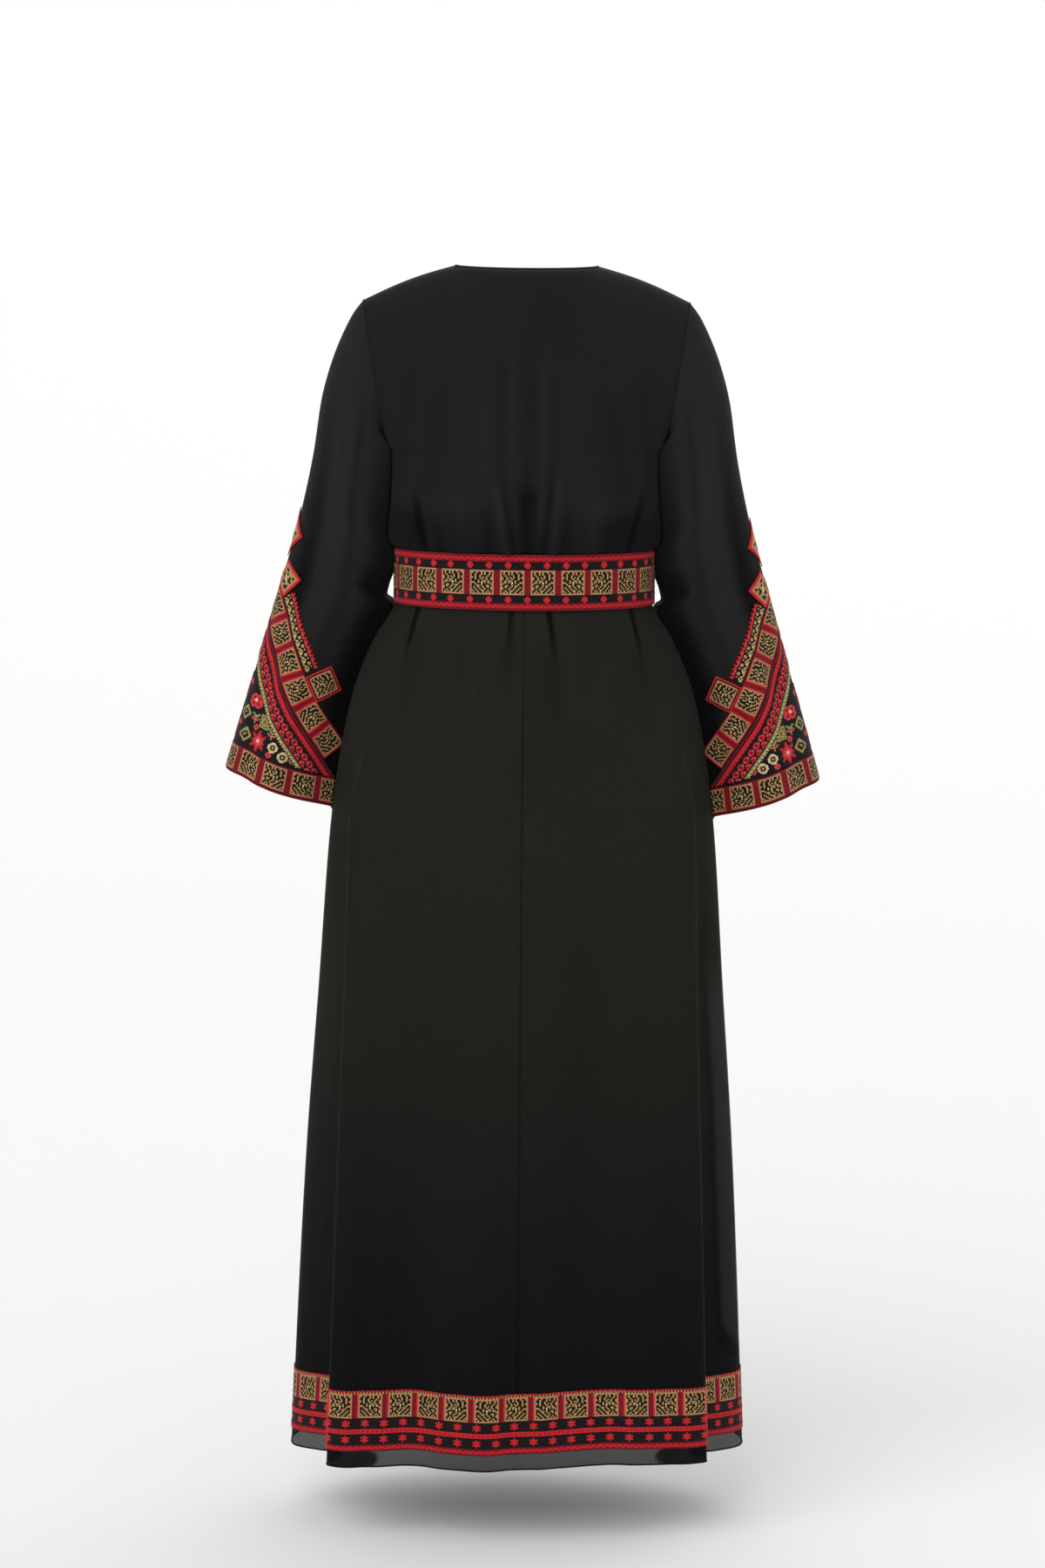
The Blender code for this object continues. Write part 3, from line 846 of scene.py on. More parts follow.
MEDAL = (
    "eeeeeeeee",
    "egkgkgkge",
    "ekgggggke",
    "eggkekgge",
    "ekgekegke",
    "eggkekgge",
    "ekgggggke",
    "egkgkgkge",
    "eeeeeeeee",
)
SPRIG = (".pp.", "prrp", "prrp", ".pp.")

# What fills the sleeve's triangle, its size in stitches and how far it stays below the arch: a
# pattern and its middle, and mirrored where that is beside the middle
FILLING_SIZE = (121, 48)
FILLING_GAP = 1.4
FILLING = (
    ("pattern", "x", "y"),
    (STAR, 0, 54),
    (MEDAL, 0, 80),
    (FLOWER, 0, 103),
    (FLOWER, 35, 97),
    (LEAF, 22, 77),
    (LEAF, 31, 51),
    (STAR, 57, 50),
    (MEDAL, 58, 75),
    (ROUND, 78, 50),
    (ROUND, 93, 41),
    (SPRAY, 42, 76),
    (SPRAY, 74, 64),
    (SPRIG, 17, 114),
    (SPRIG, 16, 62),
    (SPRIG, 47, 64),
    (SPRIG, 76, 38),
    (SPRIG, 106, 40),
)

# The threads: their colours, and how far their stitches stand up in mm
THREADS = (
    ("letter", "name", "hex", "height"),
    ("r", "red", "#c8262c", 1.1),
    ("d", "dark_red", "#7d1523", 0.95),
    ("g", "gold", "#b99659", 1.15),
    ("c", "cream", "#e6d3a2", 1.25),
    ("k", "ground", "#1b1416", 0.6),
    ("e", "green", "#8c9258", 1.1),
    ("p", "rose", "#d4505a", 1.1),
    ("o", "copper", "#b98259", 1.1),
)


def linear(text):
    """The linear colour of an sRGB hex value."""
    parts = [int(text[i : i + 2], 16) / 255 for i in (1, 3, 5)]
    return tuple(c / 12.92 if c <= 0.04045 else ((c + 0.055) / 1.055) ** 2.4 for c in parts)


def add_mesh(name, points, faces, uv=None, values=None):
    """A mesh object from points in mm. uv gives a pair for each face corner, and values a
    number for each point under each name."""
    mesh = bpy.data.meshes.new(name)
    mesh.from_pydata((np.asarray(points) * MM).tolist(), [], faces)
    if uv is not None:
        layer = mesh.uv_layers.new(name="UVMap")
        layer.data.foreach_set("uv", np.asarray(uv, np.float32).ravel())
    for key, numbers in (values or {}).items():
        attribute = mesh.attributes.new(key, "FLOAT", "POINT")
        attribute.data.foreach_set("value", np.asarray(numbers, np.float32).ravel())
    mesh.shade_smooth()
    mesh.update()
    piece = bpy.data.objects.new(name, mesh)
    bpy.context.scene.collection.objects.link(piece)
    return piece


def cloth(name, grid, closed=False, wall=CLOTH, edge_out=None, mirror=False, **values):
    """A closed thin shell of cloth under a grid of points. Its UV is in mm of cloth. values
    are grids of numbers that its points keep."""
    out = normals(grid, closed) if edge_out is None else edge_out
    inner = grid - out * wall
    if mirror:
        grid, inner = (g[:, ::-1] * (-1, 1, 1) for g in (grid, inner))
        values = {key: numbers[:, ::-1] for key, numbers in values.items()}
    rows, columns = grid.shape[:2]
    count = rows * columns
    last = columns if closed else columns - 1
    r, c = np.meshgrid(np.arange(rows - 1), np.arange(last), indexing="ij")
    r, c = r.ravel(), c.ravel()
    d = (c + 1) % columns
    a, b, e, f = r * columns + c, r * columns + d, (r + 1) * columns + c, (r + 1) * columns + d
    middle = grid[rows // 2]
    ring = np.concatenate([middle, middle[:1]]) if closed else middle
    u, v = lengths(ring), -lengths(grid[:, columns // 3])

    def spot(row, place):
        """The UV of a point of the grid."""
        return np.stack([u[place], v[row]], axis=-1)

    corners = [spot(r, c), spot(r, c + 1), spot(r + 1, c + 1), spot(r + 1, c)]
    faces = [np.stack([a, b, f, e], -1), count + np.stack([a, e, f, b], -1)]
    uv = [np.stack(corners, 1), np.stack([corners[k] for k in (0, 3, 2, 1)], 1)]
    rim = np.arange(last)
    after, zero = (rim + 1) % columns, rim * 0
    low = (rows - 1) * columns
    faces.append(np.stack([after, rim, count + rim, count + after], -1))
    uv.append(np.stack([spot(zero, rim + 1), spot(zero, rim), spot(zero, rim), spot(zero, rim + 1)], 1))
    end = zero + rows - 1
    faces.append(np.stack([low + rim, low + after, count + low + after, count + low + rim], -1))
    uv.append(np.stack([spot(end, rim), spot(end, rim + 1), spot(end, rim + 1), spot(end, rim)], 1))
    if not closed:
        side = np.arange(rows - 1)
        for col, flip in ((0, 1), (columns - 1, -1)):
            p, q = side * columns + col, (side + 1) * columns + col
            quad = np.stack([p, q, count + q, count + p], -1)
            at = side * 0 + col
            pair = np.stack([spot(side, at), spot(side + 1, at), spot(side + 1, at), spot(side, at)], 1)
            faces.append(quad[:, ::flip])
            uv.append(pair[:, ::flip])
    points = np.concatenate([grid.reshape(-1, 3), inner.reshape(-1, 3)])
    for key, numbers in values.items():
        values[key] = np.tile(np.broadcast_to(numbers, (rows, columns)).ravel(), 2)
    return add_mesh(name, points, np.concatenate(faces).tolist(), np.concatenate(uv), values)


def hollow(rise):
    """The painted shade of a fold: its trough is painted dark, and its ridge is painted light as a painted
    highlight.
    """
    return np.clip(-HOLLOW_SHADE * rise, *HOLLOW_LIMITS)


def stitches(name, patches, colours, mirror=False, lift=BAND_LIFT):
    """Embroidery as one thin closed shell for each patch: letters in rows and columns, the
    points at the stitches' corners, the cloth's outward normals there, and whether its last
    column joins its first. A '.' has no stitch. The UV counts stitches."""
    rng = np.random.default_rng(STITCH_SEED)
    heights = {row[0]: row[3] for row in THREADS[1:]}
    points, faces, uv, paint, gold = [], [], [], [], []
    start = 0
    for letters, grid, out, closed, more in patches:
        if mirror:
            grid, out = grid * (-1, 1, 1), out * (-1, 1, 1)
        letters = np.array([list(row) for row in letters])
        rows, columns = letters.shape
        across = grid.shape[1]
        kept = letters != "."
        high = np.vectorize(lambda k: heights.get(k, 0.0))(letters)
        high = high + STITCH_UNEVEN * rng.random(letters.shape)
        total, number = np.zeros((rows + 1, across)), np.zeros((rows + 1, across))
        r, c = np.nonzero(kept)
        for dr, dc in ((0, 0), (0, 1), (1, 1), (1, 0)):
            np.add.at(total, (r + dr, (c + dc) % across), high[r, c])
            np.add.at(number, (r + dr, (c + dc) % across), 1)
        top = grid + out * (lift + more + total / np.maximum(number, 1))[..., None]
        base = grid + out * (lift + more)
        count = (rows + 1) * across
        a, b = r * across + c, r * across + (c + 1) % across
        e, f = (r + 1) * across + c, (r + 1) * across + (c + 1) % across
        flat = grid.reshape(-1, 3)
        turn = np.cross(flat[b] - flat[a], flat[e] - flat[a])
        inside_out = (turn * out.reshape(-1, 3)[a]).sum() < 0
        square = [np.stack(spot, -1) for spot in ((c, -r), (c + 1, -r), (c + 1, -r - 1), (c, -r - 1))]
        quads = [np.stack([a, b, f, e], -1), count + np.stack([e, f, b, a], -1)]
        spots = [np.stack(square, 1), np.stack(square[::-1], 1)]
        cells = [np.arange(len(r))] * 2
        padded = np.zeros((rows + 2, columns + 2), bool)
        padded[1:-1, 1:-1] = kept
        if closed:
            padded[:, 0], padded[:, -1] = padded[:, -2], padded[:, 1]
        edges = (((-1, 0), a, b, 0, 1), ((0, 1), b, f, 1, 2), ((1, 0), f, e, 2, 3), ((0, -1), e, a, 3, 0))
        for (dr, dc), p, q, i, j in edges:
            bare = ~padded[r + 1 + dr, c + 1 + dc]
            quads.append(np.stack([q[bare], p[bare], count + p[bare], count + q[bare]], -1))
            spots.append(np.stack([square[j][bare], square[i][bare], square[i][bare], square[j][bare]], 1))
            cells.append(np.nonzero(bare)[0])
        quads, spots, cells = (np.concatenate(parts) for parts in (quads, spots, cells))
        if inside_out:
            quads, spots = quads[:, ::-1], spots[:, ::-1]
        shade = 1 + DYE_UNEVEN * (rng.random(len(r)) - 0.5)
        tint = np.array([colours[k] for k in letters[r, c]]) * shade[:, None]
        keys, fresh = np.unique(quads, return_inverse=True)
        points.append(np.concatenate([top.reshape(-1, 3), base.reshape(-1, 3)])[keys])
        faces.append(fresh.reshape(-1, 4) + start)
        start += len(keys)
        uv.append(spots.astype(float))
        paint.append(tint[cells])
        gold.append(np.isin(letters[r, c], ("g", "c", "o"))[cells])
    piece = add_mesh(name, np.concatenate(points), np.concatenate(faces).tolist(), np.concatenate(uv))
    paint, gold = np.concatenate(paint), np.concatenate(gold)
    layer = piece.data.color_attributes.new("thread", "FLOAT_COLOR", "CORNER")
    full = np.concatenate([paint, np.ones((len(paint), 1))], axis=1)
    layer.data.foreach_set("color", np.repeat(full, 4, axis=0).astype(np.float32).ravel())
    piece.data.polygons.foreach_set("material_index", gold.astype(np.int32))
    return piece


def tube(name, path, radius, closed, sides=8):
    """A round cord along points in mm."""
    path = np.asarray(path, float)
    if closed:
        ahead = np.roll(path, -1, axis=0) - np.roll(path, 1, axis=0)
    else:
        ahead = np.gradient(path, axis=0)
    ahead /= np.linalg.norm(ahead, axis=1, keepdims=True)
    side = np.cross(ahead, (0, 0, 1.0))
    weak = np.linalg.norm(side, axis=1) < 0.2
    side[weak] = np.cross(ahead[weak], (0, 1.0, 0))
    side /= np.linalg.norm(side, axis=1, keepdims=True)
    up = np.cross(side, ahead)
    turn = np.arange(sides) * 2 * math.pi / sides
    ring = side[:, None] * np.cos(turn)[None, :, None] + up[:, None] * np.sin(turn)[None, :, None]
    points = (path[:, None] + ring * radius).reshape(-1, 3)
    n, faces = len(path), []
    for i in range(n if closed else n - 1):
        j = (i + 1) % n
        for k in range(sides):
            m = (k + 1) % sides
            faces.append((i * sides + k, i * sides + m, j * sides + m, j * sides + k))
    if not closed:
        faces.append(tuple(range(sides - 1, -1, -1)))
        faces.append(tuple((n - 1) * sides + k for k in range(sides)))
    size = sum(len(f) for f in faces)
    return add_mesh(name, points, faces, np.zeros((size, 2)))


def add_node(tree, kind, inputs=None, **settings):
    """Adds a node with its settings. An input is a value or the socket that it comes from."""
    node = tree.nodes.new(kind)
    for name, value in settings.items():
        setattr(node, name, value)
    for place, value in (inputs or {}).items():
        if isinstance(value, bpy.types.NodeSocket):
            tree.links.new(value, node.inputs[place])
        else:
            node.inputs[place].default_value = value
    return node.outputs[0]


def new_material(name, roughness, specular):
    """An empty material and its shader."""
    material = bpy.data.materials.new(name)
    material.use_nodes = True
    shader = material.node_tree.nodes["Principled BSDF"]
    shader.inputs["Roughness"].default_value = roughness
    shader.inputs["Specular IOR Level"].default_value = specular
    return material, material.node_tree, shader


def chart(rows, columns, letter="k"):
    """An empty pattern of one letter."""
    return np.full((rows, columns), letter)


def stamp(letters, pattern, row, place, wrap=True):
    """Puts a small pattern's stitches into a chart, with its middle at a row and column."""
    high, wide = len(pattern), len(pattern[0])
    for i in range(high):
        for j in range(wide):
            r, c = row - high // 2 + i, place - wide // 2 + j
            if wrap:
                c %= letters.shape[1]
            if pattern[i][j] != "." and 0 <= r < letters.shape[0] and 0 <= c < letters.shape[1]:
                letters[r, c] = pattern[i][j]


def square_block(frame):
    """A framed square of SQUARE_SIDE stitches each way."""
    edge = frame * SQUARE_SIDE
    return [edge, *(frame + row + frame for row in SQUARE), edge]


def squares(letters, top, frame, bar, start):
    """Puts a row of squares with bars between them into a chart. The bar is a short row of
    letters, and the first one begins at a column."""
    block = np.array([list(row) for row in square_block(frame)])
    repeat = SQUARE_SIDE + len(bar)
    for c in range(letters.shape[1]):
        number, k = divmod(c - start, repeat)
        way = 1 if number % 2 else -1
        filled = bar[k] if k < len(bar) else block[:, ::way][:, k - len(bar)]
        letters[top : top + SQUARE_SIDE, c] = filled


def chain(letters, top, way):
    """Puts four rows of red chain into a chart, with its dark edge at the top for way 1."""
    rows = [top, top + 1, top + 2, top + 3][::way]
    for row, line in zip(rows, ("dddd", "rrrd", "rdrr", "dddd")):
        for c in range(letters.shape[1]):
            letters[row, c] = line[c % 4]


def star_row(letters, middle, pattern, number, start=0.0):
    """Puts a number of small stars in a row into a chart."""
    for k in range(number):
        stamp(letters, pattern, middle, round(start + k * letters.shape[1] / number))


def belt_chart():
    """The belt's pattern: rows of squares and stars between bands of chain."""
    letters = chart(BELT_ROWS, BELT_STITCHES)
    chain(letters, 0, 1)
    star_row(letters, 6, BELT_STAR, BELT_STARS)
    squares(letters, 9, "o", "dddd", -2)
    star_row(letters, 27, BELT_STAR, BELT_STARS)
    chain(letters, 29, -1)
    return letters


def hem_chart(columns, start, stars):
    """The hem band's pattern over a number of stitches. Its first bar begins at start."""
    letters = chart(HEM_ROWS, columns)
    for c in range(columns):
        letters[0, c], letters[1, c] = "rrd"[c % 3], "kg"[c % 2]
    squares(letters, 2, "o", "rddd", start)
    star_row(letters, 20, HEM_STAR, stars, start)
    letters[24:27] = "r"
    letters[25, ::3] = "d"
    star_row(letters, 30, HEM_STAR, stars, start)
    chain(letters, 34, -1)
    return letters


def cuff_chart():
    """The cuff band's pattern: a row of squares between two dark edges."""
    letters = chart(SQUARE_SIDE + 2, CUFF_STITCHES, "d")
    squares(letters, 1, "o", "dddd", 0)
    return letters


def even_line(line, step, middle):
    """Places along a line of points at equal steps, to both sides of one of its points."""
    length = lengths(line)
    zero = length[middle]
    low, high = math.ceil(-zero / step), math.floor((length[-1] - zero) / step)
    at = zero + np.arange(low, high + 1) * step
    return np.stack([np.interp(at, length, line[:, k]) for k in range(line.shape[1])], axis=1), -low


def arch_line(inside):
    """The middle line of a row that lies inside the arch of squares, rounded over the arm."""
    x = np.linspace(0, 200, 801)
    line = np.stack([x, smooth_curve(column(SQUARE_ARCH, "x"), column(SQUARE_ARCH, "y"), x)], axis=1)
    way = np.gradient(line, axis=0)
    way /= np.linalg.norm(way, axis=1, keepdims=True)
    line = line + np.stack([way[:, 1], -way[:, 0]], axis=1) * inside
    line = line[line[:, 0] > 0.2]
    both = np.concatenate([line[::-1] * (-1, 1), line])
    even, middle = even_line(both, 0.5, len(line))
    weight = np.exp(-(np.linspace(-2.5, 2.5, 71) ** 2) / 2)
    padded = np.pad(even, ((35, 35), (0, 0)), mode="edge")
    soft = np.stack([np.convolve(padded[:, k], weight / weight.sum(), "valid") for k in (0, 1)], axis=1)
    return soft, middle


def arch_row(letters_for, inside, rows):
    """A row of stitches along the arch, as letters and the flat places of their corners."""
    line, middle = arch_line(inside)
    line, middle = even_line(line, ARCH_STITCH, middle)
    way = np.gradient(line, axis=0)
    way /= np.linalg.norm(way, axis=1, keepdims=True)
    inward = np.stack([way[:, 1], -way[:, 0]], axis=1)
    off = (np.arange(rows + 1) - rows / 2) * ARCH_STITCH
    corners = line[None] + inward[None] * off[:, None, None]
    letters = letters_for(len(line) - 1, middle)
    centre = (corners[:-1, :-1] + corners[1:, 1:]) / 2
    letters[centre[..., 1] < ARCH_FLOOR] = "."
    across, down = np.diff(corners, axis=1)[:-1], np.diff(corners, axis=0)[:, :-1]
    turn = across[..., 0] * down[..., 1] - across[..., 1] * down[..., 0]
    letters[turn > -0.25 * ARCH_STITCH**2] = "."
    return letters, corners


def arch_squares(columns, middle):
    """The arch's row of squares, with a bar over the arm."""
    letters = chart(SQUARE_SIDE + 2, columns, "d")
    squares(letters, 1, "o", "rdddr", middle - 2)
    letters[:, np.abs(np.arange(columns) - middle + 0.5) > ARCH_HALF] = "."
    return letters


def arch_red(columns, middle):
    """The arch's solid red row on its dark ground."""
    letters = chart(7, columns, "k")
    letters[1] = "d"
    letters[3:6] = "r"
    letters[5, middle % 3 :: 3] = "d"
    return letters


def arch_loops(columns, middle):
    """The arch's two rows of small rings."""
    return np.array([[LOOPS[r][(c - middle) % 6] for c in range(columns)] for r in range(len(LOOPS))])


def arch_edge(columns, middle):
    """The arch's narrow green and cream row."""
    letters = chart(3, columns, "e")
    letters[1] = np.where((np.arange(columns) - middle) % 3 == 0, "c", "e")
    letters[2] = np.where((np.arange(columns) - middle) % 2 == 0, "g", ".")
    return letters


def arch_dots(columns, middle):
    """The short dotted rows outside the arch, which a band of red scallops ends."""
    letters = chart(len(DOTS), columns, ".")
    for c in range(columns):
        away = abs(c - middle + 0.5) * ARCH_STITCH
        if DOTS_REACH[0] < away < DOTS_REACH[1]:
            letters[:, c] = [row[(c - middle) % 6] for row in DOTS]
    return letters


def diamond(x, y, turn, stitch, coarse):
    """A square in a ring, as letters and the flat places of their corners."""
    if coarse:
        letters = np.array([list(row) for row in DIAMOND]).repeat(2, axis=0).repeat(2, axis=1)
    else:
        block = np.array([list(row) for row in square_block("o")])
        letters = np.pad(np.pad(block, 1, constant_values="k"), 1, constant_values="r")
    count = len(letters)
    step = (np.arange(count + 1) - count / 2) * stitch * DIAMOND_SIDE / count
    a, b = np.meshgrid(step, step)
    turn = math.radians(turn)
    flat_x = x + a * math.cos(turn) + b * math.sin(turn)
    flat_y = y + a * math.sin(turn) - b * math.cos(turn)
    return letters, np.stack([flat_x, flat_y], axis=-1)


def filling():
    """The triangle inside the arch, as letters and the flat places of their corners."""
    columns, rows = FILLING_SIZE
    x = (np.arange(columns + 1) - columns / 2) * ARCH_STITCH
    y = ARCH_FLOOR + (rows - np.arange(rows + 1)) * ARCH_STITCH
    letters = chart(rows, columns, "k")
    for pattern, away, high in FILLING[1:]:
        row = int(round((ARCH_FLOOR + rows * ARCH_STITCH - high) / ARCH_STITCH))
        for px in (away, -away) if away else (0,):
            stamp(letters, pattern, row, int(np.searchsorted(x, px)) - 1, wrap=False)
    line = arch_line(ARCH_INSIDE["line"] + FILLING_GAP * ARCH_STITCH)[0]
    top = np.interp((x[:-1] + x[1:]) / 2, line[:, 0], line[:, 1])
    middle = (y[:-1] + y[1:]) / 2
    letters[middle[:, None] > top[None, :]] = "."
    flat_x, flat_y = np.meshgrid(x, y)
    return letters, np.stack([flat_x, flat_y], axis=-1)


def lay_flat(grid):
    """Flat places of a sleeve's points: x from the overarm line to the back, y up from the
    cuff edge. Strip by strip the cloth is turned into the plane with its lengths kept."""
    rows, columns = grid.shape[:2]
    flat = np.zeros((rows, columns, 2))
    step = np.linalg.norm(np.diff(grid[:, 0], axis=0), axis=1)
    flat[:-1, 0, 1] = np.cumsum(step[::-1])[::-1]
    for side in (1, -1):
        here = 0
        for _ in range(columns // 2 - (side < 0)):
            beside = (here - side) % columns
            down = np.gradient(grid[:, here], axis=0)
            down /= np.linalg.norm(down, axis=1, keepdims=True)
            line = np.gradient(flat[:, here], axis=0)
            line /= np.linalg.norm(line, axis=1, keepdims=True)
            off = np.stack([-line[:, 1], line[:, 0]], axis=1) * side
            go = grid[:, beside] - grid[:, here]
            along = (go * down).sum(axis=1)
            across = np.linalg.norm(go - along[:, None] * down, axis=1)
            flat[:, beside] = flat[:, here] + along[:, None] * line + across[:, None] * off
            here = beside
    return flat


def sleeve_places(grid):
    """A function that gives the points and normals of a sleeve at flat places."""
    count = grid.shape[1]
    order = [(-k) % count for k in range(1 - count // 2, count // 2 + 1)]
    flat, points, out = lay_flat(grid)[:, order], grid[:, order], normals(grid, True)[:, order]
    slopes = [np.gradient(values, axis=axis) for values in (flat, points, out) for axis in (0, 1)]
    flat, points, out = (values.reshape(-1, values.shape[-1]) for values in (flat, points, out))
    down, across, point_down, point_across, out_down, out_across = (
        values.reshape(-1, values.shape[-1]) for values in slopes
    )
    tree = KDTree(len(flat))
    for k, (x, y) in enumerate(flat):
        tree.insert((x, y, 0), k)
    tree.balance()

    def place(at):
        """The points and normals at flat places, from the nearest known point of each."""
        spots = at.reshape(-1, 2)
        near = np.array([tree.find((x, y, 0))[1] for x, y in spots])
        miss, a, b = spots - flat[near], down[near], across[near]
        area = a[:, 0] * b[:, 1] - a[:, 1] * b[:, 0]
        s = np.clip((miss[:, 0] * b[:, 1] - miss[:, 1] * b[:, 0]) / area, -1, 1)[:, None]
        t = np.clip((a[:, 0] * miss[:, 1] - a[:, 1] * miss[:, 0]) / area, -1, 1)[:, None]
        spot = points[near] + s * point_down[near] + t * point_across[near]
        face = out[near] + s * out_down[near] + t * out_across[near]
        face /= np.linalg.norm(face, axis=1, keepdims=True)
        return spot.reshape(*at.shape[:2], 3), face.reshape(*at.shape[:2], 3)

    return place


def round_band(grid, far, near, rows, columns):
    """Points and normals on a band round a sleeve's cuff, between two distances from its edge."""
    out = normals(grid, True)
    length = np.linalg.norm(np.diff(grid, axis=0), axis=2)
    up = np.concatenate([np.cumsum(length[::-1], axis=0)[::-1], np.zeros((1, grid.shape[1]))])
    lines, faces = [], []
    for away in np.linspace(far, near, rows + 1):
        row = np.argmax(up < away, axis=0) - 1
        k = np.arange(grid.shape[1])
        t = ((up[row, k] - away) / (up[row, k] - up[row + 1, k]))[:, None]
        lines.append(grid[row, k] * (1 - t) + grid[row + 1, k] * t)
        faces.append(out[row, k] * (1 - t) + out[row + 1, k] * t)
    lines, faces = np.array(lines), np.array(faces)
    middle = np.concatenate([lines[rows // 2], lines[rows // 2][:1]])
    reach = lengths(middle)
    at = np.arange(columns) * reach[-1] / columns

    def spread(rows_of):
        """Rows of points or normals at even steps round the cuff."""
        made = []
        for row in rows_of:
            round_it = np.concatenate([row, row[:1]])
            made.append(np.stack([np.interp(at, reach, round_it[:, k]) for k in range(3)], axis=1))
        return np.stack(made)

    faces = spread(faces)
    return spread(lines), faces / np.linalg.norm(faces, axis=2, keepdims=True)


def hung_skirt(angle, levels):
    """The skirt's cloth with its uneven hem."""
    grid = skirt_grid(angle, levels)
    angle = np.asarray(angle, float)
    rise = smooth_curve(column(HEM_RISE, "angle"), column(HEM_RISE, "rise"), angle)
    grid[..., 2] += rise[None, :] * soft(grid[..., 2], *HEM_RISE_Z)
    return grid


def cloth_material(name, settings, alpha=1.0, by_place=False, look=CREPE_LOOK):
    """Black wool crepe, or silk chiffon where some light comes through it. by_place takes the share of
    light from the attribute 'sheer', and paints warm light on the upper skirt. look is the tint, which on
    the chiffon is painted light, and where painted shade makes it darkest."""
    material, tree, shader = new_material(name, 0.8, 0.05)
    place = add_node(tree, "ShaderNodeTexCoord").node.outputs["Object"]
    patch = add_node(tree, "ShaderNodeTexNoise", {"Vector": place, "Scale": 3.0, "Detail": 2.0})
    height = add_node(tree, "ShaderNodeSeparateXYZ", {0: place}).node.outputs["Z"]
    # Painted warm light on the upper skirt, between two heights and not above the belt
    zero, one = UPPER_LOW
    warm = add_node(tree, "ShaderNodeMapRange", {0: height, 1: zero, 2: one}, clamp=True)
    zero, one = UPPER_HIGH
    below = add_node(tree, "ShaderNodeMapRange", {0: height, 1: zero, 2: one}, clamp=True)
    below = add_node(tree, "ShaderNodeMath", {0: below, 1: float(by_place)}, operation="MULTIPLY")
    warm = add_node(tree, "ShaderNodeMath", {0: warm, 1: below}, operation="MULTIPLY")
    # The chiffon's tone is painted light for what shows through a sleeve; low, high and share give the
    # painted shade lower down
    tone, low, high, share = look
    base = tuple(c * f for c, f in zip(settings.cloth, tone))
    olive = tuple(c * f for c, f in zip(base, PAINTED_WARM_LIGHT))
    tint = add_node(tree, "ShaderNodeMix", {0: warm, 6: (*base, 1), 7: (*olive, 1)}, data_type="RGBA")
    tint = tint.node.outputs[2]
    # The yarns are drawn at 1.6 mm, which is coarser than the real crepe's 0.3 mm
    uv = add_node(tree, "ShaderNodeUVMap")
    yarn = add_node(tree, "ShaderNodeTexNoise", {"Vector": uv, "Scale": 0.62, "Detail": 3.0})
    shade = add_node(tree, "ShaderNodeMapRange", {0: yarn, 1: 0.3, 2: 0.7, 3: 0.86, 4: 1.14})
    soft = add_node(tree, "ShaderNodeMapRange", {0: patch, 1: 0.3, 2: 0.7, 3: 0.92, 4: 1.08})
    shade = add_node(tree, "ShaderNodeMath", {0: shade, 1: soft}, operation="MULTIPLY")
    # Painted shade lower down, and from each point's painted shade attribute, which darkens troughs and
    # seams and lightens ridges and the left's sheer strip
    dark = add_node(tree, "ShaderNodeMapRange", {0: height, 1: low, 2: high, 3: share, 4: 1.0})
    shade = add_node(tree, "ShaderNodeMath", {0: shade, 1: dark}, operation="MULTIPLY")
    deep = add_node(tree, "ShaderNodeAttribute", attribute_name="hollow").node.outputs["Fac"]
    deep = add_node(tree, "ShaderNodeMath", {0: 1.0, 1: deep}, operation="SUBTRACT")
    shade = add_node(tree, "ShaderNodeMath", {0: shade, 1: deep}, operation="MULTIPLY")
    tint = add_node(tree, "ShaderNodeVectorMath", {0: tint, 1: shade}, operation="MULTIPLY")
    tree.links.new(tint, shader.inputs["Base Color"])
    bump = add_node(tree, "ShaderNodeBump", {"Height": yarn, "Distance": 0.0003, "Strength": 0.5})
    tree.links.new(bump, shader.inputs["Normal"])
    shader.inputs["Sheen Weight"].default_value = 0.02
    shader.inputs["Sheen Roughness"].default_value = 0.5
    if by_place:
        sheer = add_node(tree, "ShaderNodeAttribute", attribute_name="sheer").node.outputs["Fac"]
        clear = add_node(tree, "ShaderNodeMapRange", {0: sheer, 1: 0.0, 2: 1.0, 3: 1.0, 4: alpha})
        tree.links.new(clear, shader.inputs["Alpha"])
    else:
        shader.inputs["Alpha"].default_value = alpha
    return material


